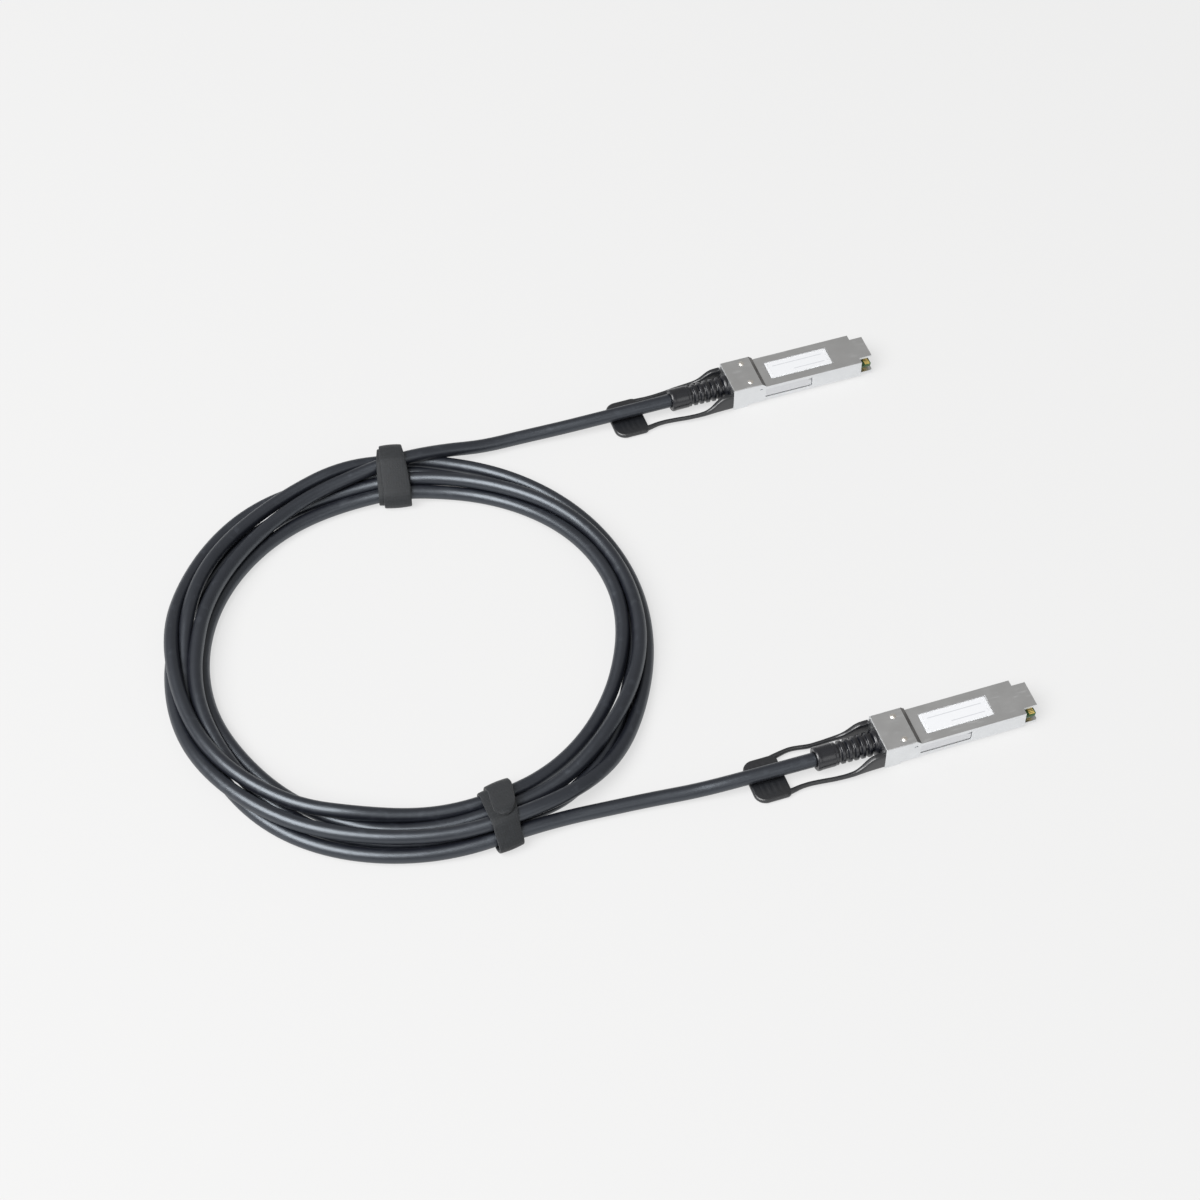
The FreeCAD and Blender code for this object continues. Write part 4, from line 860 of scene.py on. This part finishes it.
def armSurface(side, sign):
    # an oval section that turns squarer towards the root, carried along the arm's line
    rows = np.array(tab["arm"])[::-1]
    x = np.linspace(rows[0, 0], rows[-1, 0], tab["armRows"])
    span = tab["armEase"]
    middle, half, low, high = (
        np.convolve(
            np.pad(np.interp(x, rows[:, 0], rows[:, k]), span // 2, "edge"),
            np.ones(span) / span, "valid",
        )
        for k in range(1, 5)
    )
    if sign > 0:
        middle = middle + tab["bow"][side] * np.exp(-(((x - tab["bowAt"]) / tab["bowSpan"]) ** 2))
    power = tab["round"] + tab["rootSquare"] * softStep(x, tab["rootAt"], tab["rootSpan"])
    turn = np.radians(np.arange(0, 360, tab["armFacing"]))[None, :]
    c, t = np.cos(turn), np.sin(turn)
    across = np.sign(c) * np.abs(c) ** (2 / power[:, None]) * half[:, None]
    up = np.sign(t) * np.abs(t) ** (2 / power[:, None]) * ((high - low) / 2)[:, None]
    slope = np.gradient(middle, x)[:, None]
    lean = 1 / np.sqrt(1 + slope**2)
    return closeEnds(np.stack([
        x[:, None] - across * slope * lean,
        sign * (middle[:, None] + across * lean),
        ((high + low) / 2)[:, None] + up,
    ], -1))


def gripOutline():  # a rounded rectangle, its points evenly spread
    corners = []
    for k, (cx, cy) in enumerate(((1, 1), (-1, 1), (-1, -1), (1, -1))):
        corner = tab["frontCorner"] if cx > 0 else tab["rearCorner"]
        turn = np.radians(np.arange(0, 91, 9)) + k * pi / 2
        x = (tab["front"] if cx > 0 else tab["rear"]) - cx * corner
        y = cy * (tab["halfWidth"] - corner)
        corners.append(np.stack([x + corner * np.cos(turn), y + corner * np.sin(turn)], -1))
    outline = np.concatenate(corners + [corners[0][:1]])
    run = np.r_[0, np.cumsum(np.linalg.norm(np.diff(outline, axis=0), axis=1))]
    even = np.linspace(0, run[-1], tab["outlineCount"], endpoint=False)
    return np.stack([np.interp(even, run, outline[:, k]) for k in (0, 1)], -1)


def gripSurface():
    # the outline drawn in to the middle, over a quarter round at its upper and lower edge;
    # shallow ridges run across its top
    outline = gripOutline()
    middle = np.array([(tab["front"] + tab["rear"]) / 2, 0])
    away = outline - middle
    outward = away / np.linalg.norm(away, axis=1, keepdims=True)
    bend = np.radians(np.arange(0, 91, 15))
    edge, above, below = tab["edge"], tab["topRings"], tab["underRings"]
    first, second = edge * (1 - np.sin(bend)), edge * (1 - np.cos(bend))
    inset = np.r_[np.full(above, edge), first, second, np.full(below, edge)]
    share = np.r_[
        np.linspace(0, 1, above + 1)[:-1], np.ones(2 * len(bend)), np.linspace(1, 0, below)
    ]
    height = np.r_[
        np.full(above, tab["high"]), tab["high"] - second,
        tab["low"] + first, np.full(below, tab["low"]),
    ]
    flat = middle + (away[None] - outward[None] * inset[:, None, None]) * share[:, None, None]
    z = np.repeat(height[:, None], len(outline), 1)
    x, fade = flat[..., 0], tab["fieldFade"]
    start, end = (tab["rear"] + reach for reach in tab["field"])
    wave = np.cos((x - tab["rear"] - tab["ridgeFrom"]) * 2 * pi / tab["ridgePitch"])
    place = softStep(x, start, fade) * (1 - softStep(x, end, fade))
    place = place * (1 - softStep(np.abs(flat[..., 1]), tab["fieldHalf"], tab["fieldSideFade"]))
    place = place * (height[:, None] > tab["high"] - 0.01)
    z = z - tab["ridge"] * place * (0.5 - 0.5 * np.tanh(tab["ridgeSharp"] * wave))
    return np.concatenate([flat, z[..., None]], -1)


for side in sides:
    node = f"plug_{side}_pull_tab"
    low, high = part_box(node)
    origin = np.array([stepFace(side), (low[1] + high[1]) / 2, 0])
    shapes = {"armNear": armSurface(side, -1), "armFar": armSurface(side, 1), "grip": gripSurface()}
    for kind, points in shapes.items():
        piece = gridPiece(f"{kind}_{side}", points * mm + origin)
        dress(piece, tabRubber, "tab", f"release_{side}", node)
print("pull tabs: done")


# ---- return springs

spring = {
    "turns": 8.5, "wire": 0.32, "outer": 1.9, "keep": 5.8 / 8.0,
    "closer": 0.06, "rows": 260, "facing": 45,
}


def springPiece(name, low, high):
    # a helix about the spring's axis: closer at both ends, with a round wire round its line
    length = (high[0] - low[0]) / mm - spring["wire"]
    share = np.linspace(0, 1, spring["rows"])
    turned = 2 * pi * spring["turns"] * share
    ease = share - spring["closer"] * np.sin(2 * pi * share)
    radius, wire = (spring["outer"] - spring["wire"]) / 2, spring["wire"] / 2
    centre = np.array([low[0] / mm + wire, *((low[k] + high[k]) / 2 / mm for k in (1, 2))])
    line = np.stack([ease * length, radius * np.cos(turned), radius * np.sin(turned)], -1) + centre
    tangent = np.gradient(line, axis=0)
    tangent /= np.linalg.norm(tangent, axis=1, keepdims=True)
    out = np.stack([np.zeros_like(turned), np.cos(turned), np.sin(turned)], -1)
    third = np.cross(tangent, out)
    ring = np.radians(np.arange(0, 360, spring["facing"]))[None, :, None]
    around = np.cos(ring) * out[:, None] + np.sin(ring) * third[:, None]
    points = line[:, None] + wire * around
    return gridPiece(name, closeEnds(points) * mm)


for side in sides:
    for hand in ("left", "right"):
        node = f"plug_{side}_return_spring_{hand}"
        low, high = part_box(node)
        piece = springPiece(f"spring_{side}_{hand}", low, high)
        dress(piece, springSteel, "spring_steel", "cable", node)
        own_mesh(piece)
print("springs: done")


# ---- rivets and labels

rivet = {
    "radius": 1.3, "spot": 1.0, "proud": 0.55, "solidProud": 0.3, "rim": 0.15, "shaft": 1.5,
    "rings": 9, "facing": 10,
}


def rivetPiece(name, low, high):
    # two domes: height falls with the square of the distance from the middle, then a
    # short rim and a shaft down into the block
    wide, proud, shaft = rivet["radius"], rivet["proud"], rivet["shaft"]
    share = np.linspace(0, 1, rivet["rings"])
    profile = [(wide * s, -(proud - rivet["rim"]) * s * s) for s in share]
    profile += [(wide, -proud), (wide, -shaft), (0, -shaft)]
    out, down = np.array(profile).T
    turned = np.radians(np.arange(0, 360, rivet["facing"]))
    x, y = np.outer(out, np.cos(turned)), np.outer(out, np.sin(turned))
    ring = np.stack([x, y, np.repeat(down[:, None], len(turned), 1)], -1) * mm
    radius, lift = rivet["spot"] * mm, (proud - rivet["solidProud"]) * mm
    domes = []
    for k, y in enumerate((low[1] + radius, high[1] - radius)):
        centre = np.array([(low[0] + high[0]) / 2, y, high[2] + lift])
        domes.append(gridPiece(f"{name}_{k}", ring + centre))
    return domes


def labelPiece(name, low, high):
    # a rounded rectangle's outline drawn in towards the middle, with a thin edge below it;
    # own coordinates count from the label's rear edge and its centre line
    corner, half = label["corner"], label["width"] / 2
    bend = np.radians(np.arange(0, 91, 15))
    outline = []
    front, beside = label["length"] - corner, half - corner
    spots = [(front, beside), (corner, beside), (corner, -beside), (front, -beside)]
    for k, (u, v) in enumerate(spots):
        turn = bend + k * pi / 2
        outline.append(np.stack([u + corner * np.cos(turn), v + corner * np.sin(turn)], -1))
    outline = np.concatenate(outline)
    middle = np.array([label["length"] / 2, 0])
    shares = np.r_[np.linspace(0, label["lastRing"], label["rings"]), 1, 1, 1]
    drop = np.r_[np.zeros(label["rings"]), label["lipDrop"], label["thick"], label["thick"]]
    flat = middle + (outline - middle)[None] * shares[:, None, None]
    flat[-1] = middle
    z = np.repeat((high[2] / mm - drop)[:, None], len(outline), 1)
    x, y = flat[..., 0] + low[0] / mm, flat[..., 1] + (low[1] + high[1]) / 2 / mm
    place = np.stack([x, y, z], -1)
    return gridPiece(name, place * mm, uv=flat * mm)


for side in sides:
    node = f"plug_{side}_shell_rivets"
    low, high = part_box(node)
    for piece in rivetPiece(f"rivet_{side}", low, high):
        dress(piece, rivetSteel, "rivet_steel", "cable", node)
    node = f"plug_{side}_label"
    low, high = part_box(node)
    dress(labelPiece(f"label_{side}", low, high), stock, "label", "cable", node)
    for kind, paint in (
        ("paddle_card", board), ("contact_pads", gold), ("memory_chip", chipBlack),
        ("coupling_capacitors", capacitor), ("lead_mould", leadMould), ("twinax_leads", foil),
    ):
        paintNode(f"plug_{side}_{kind}", paint)
print("rivets, labels and boards: done")

bpy.context.view_layer.update()
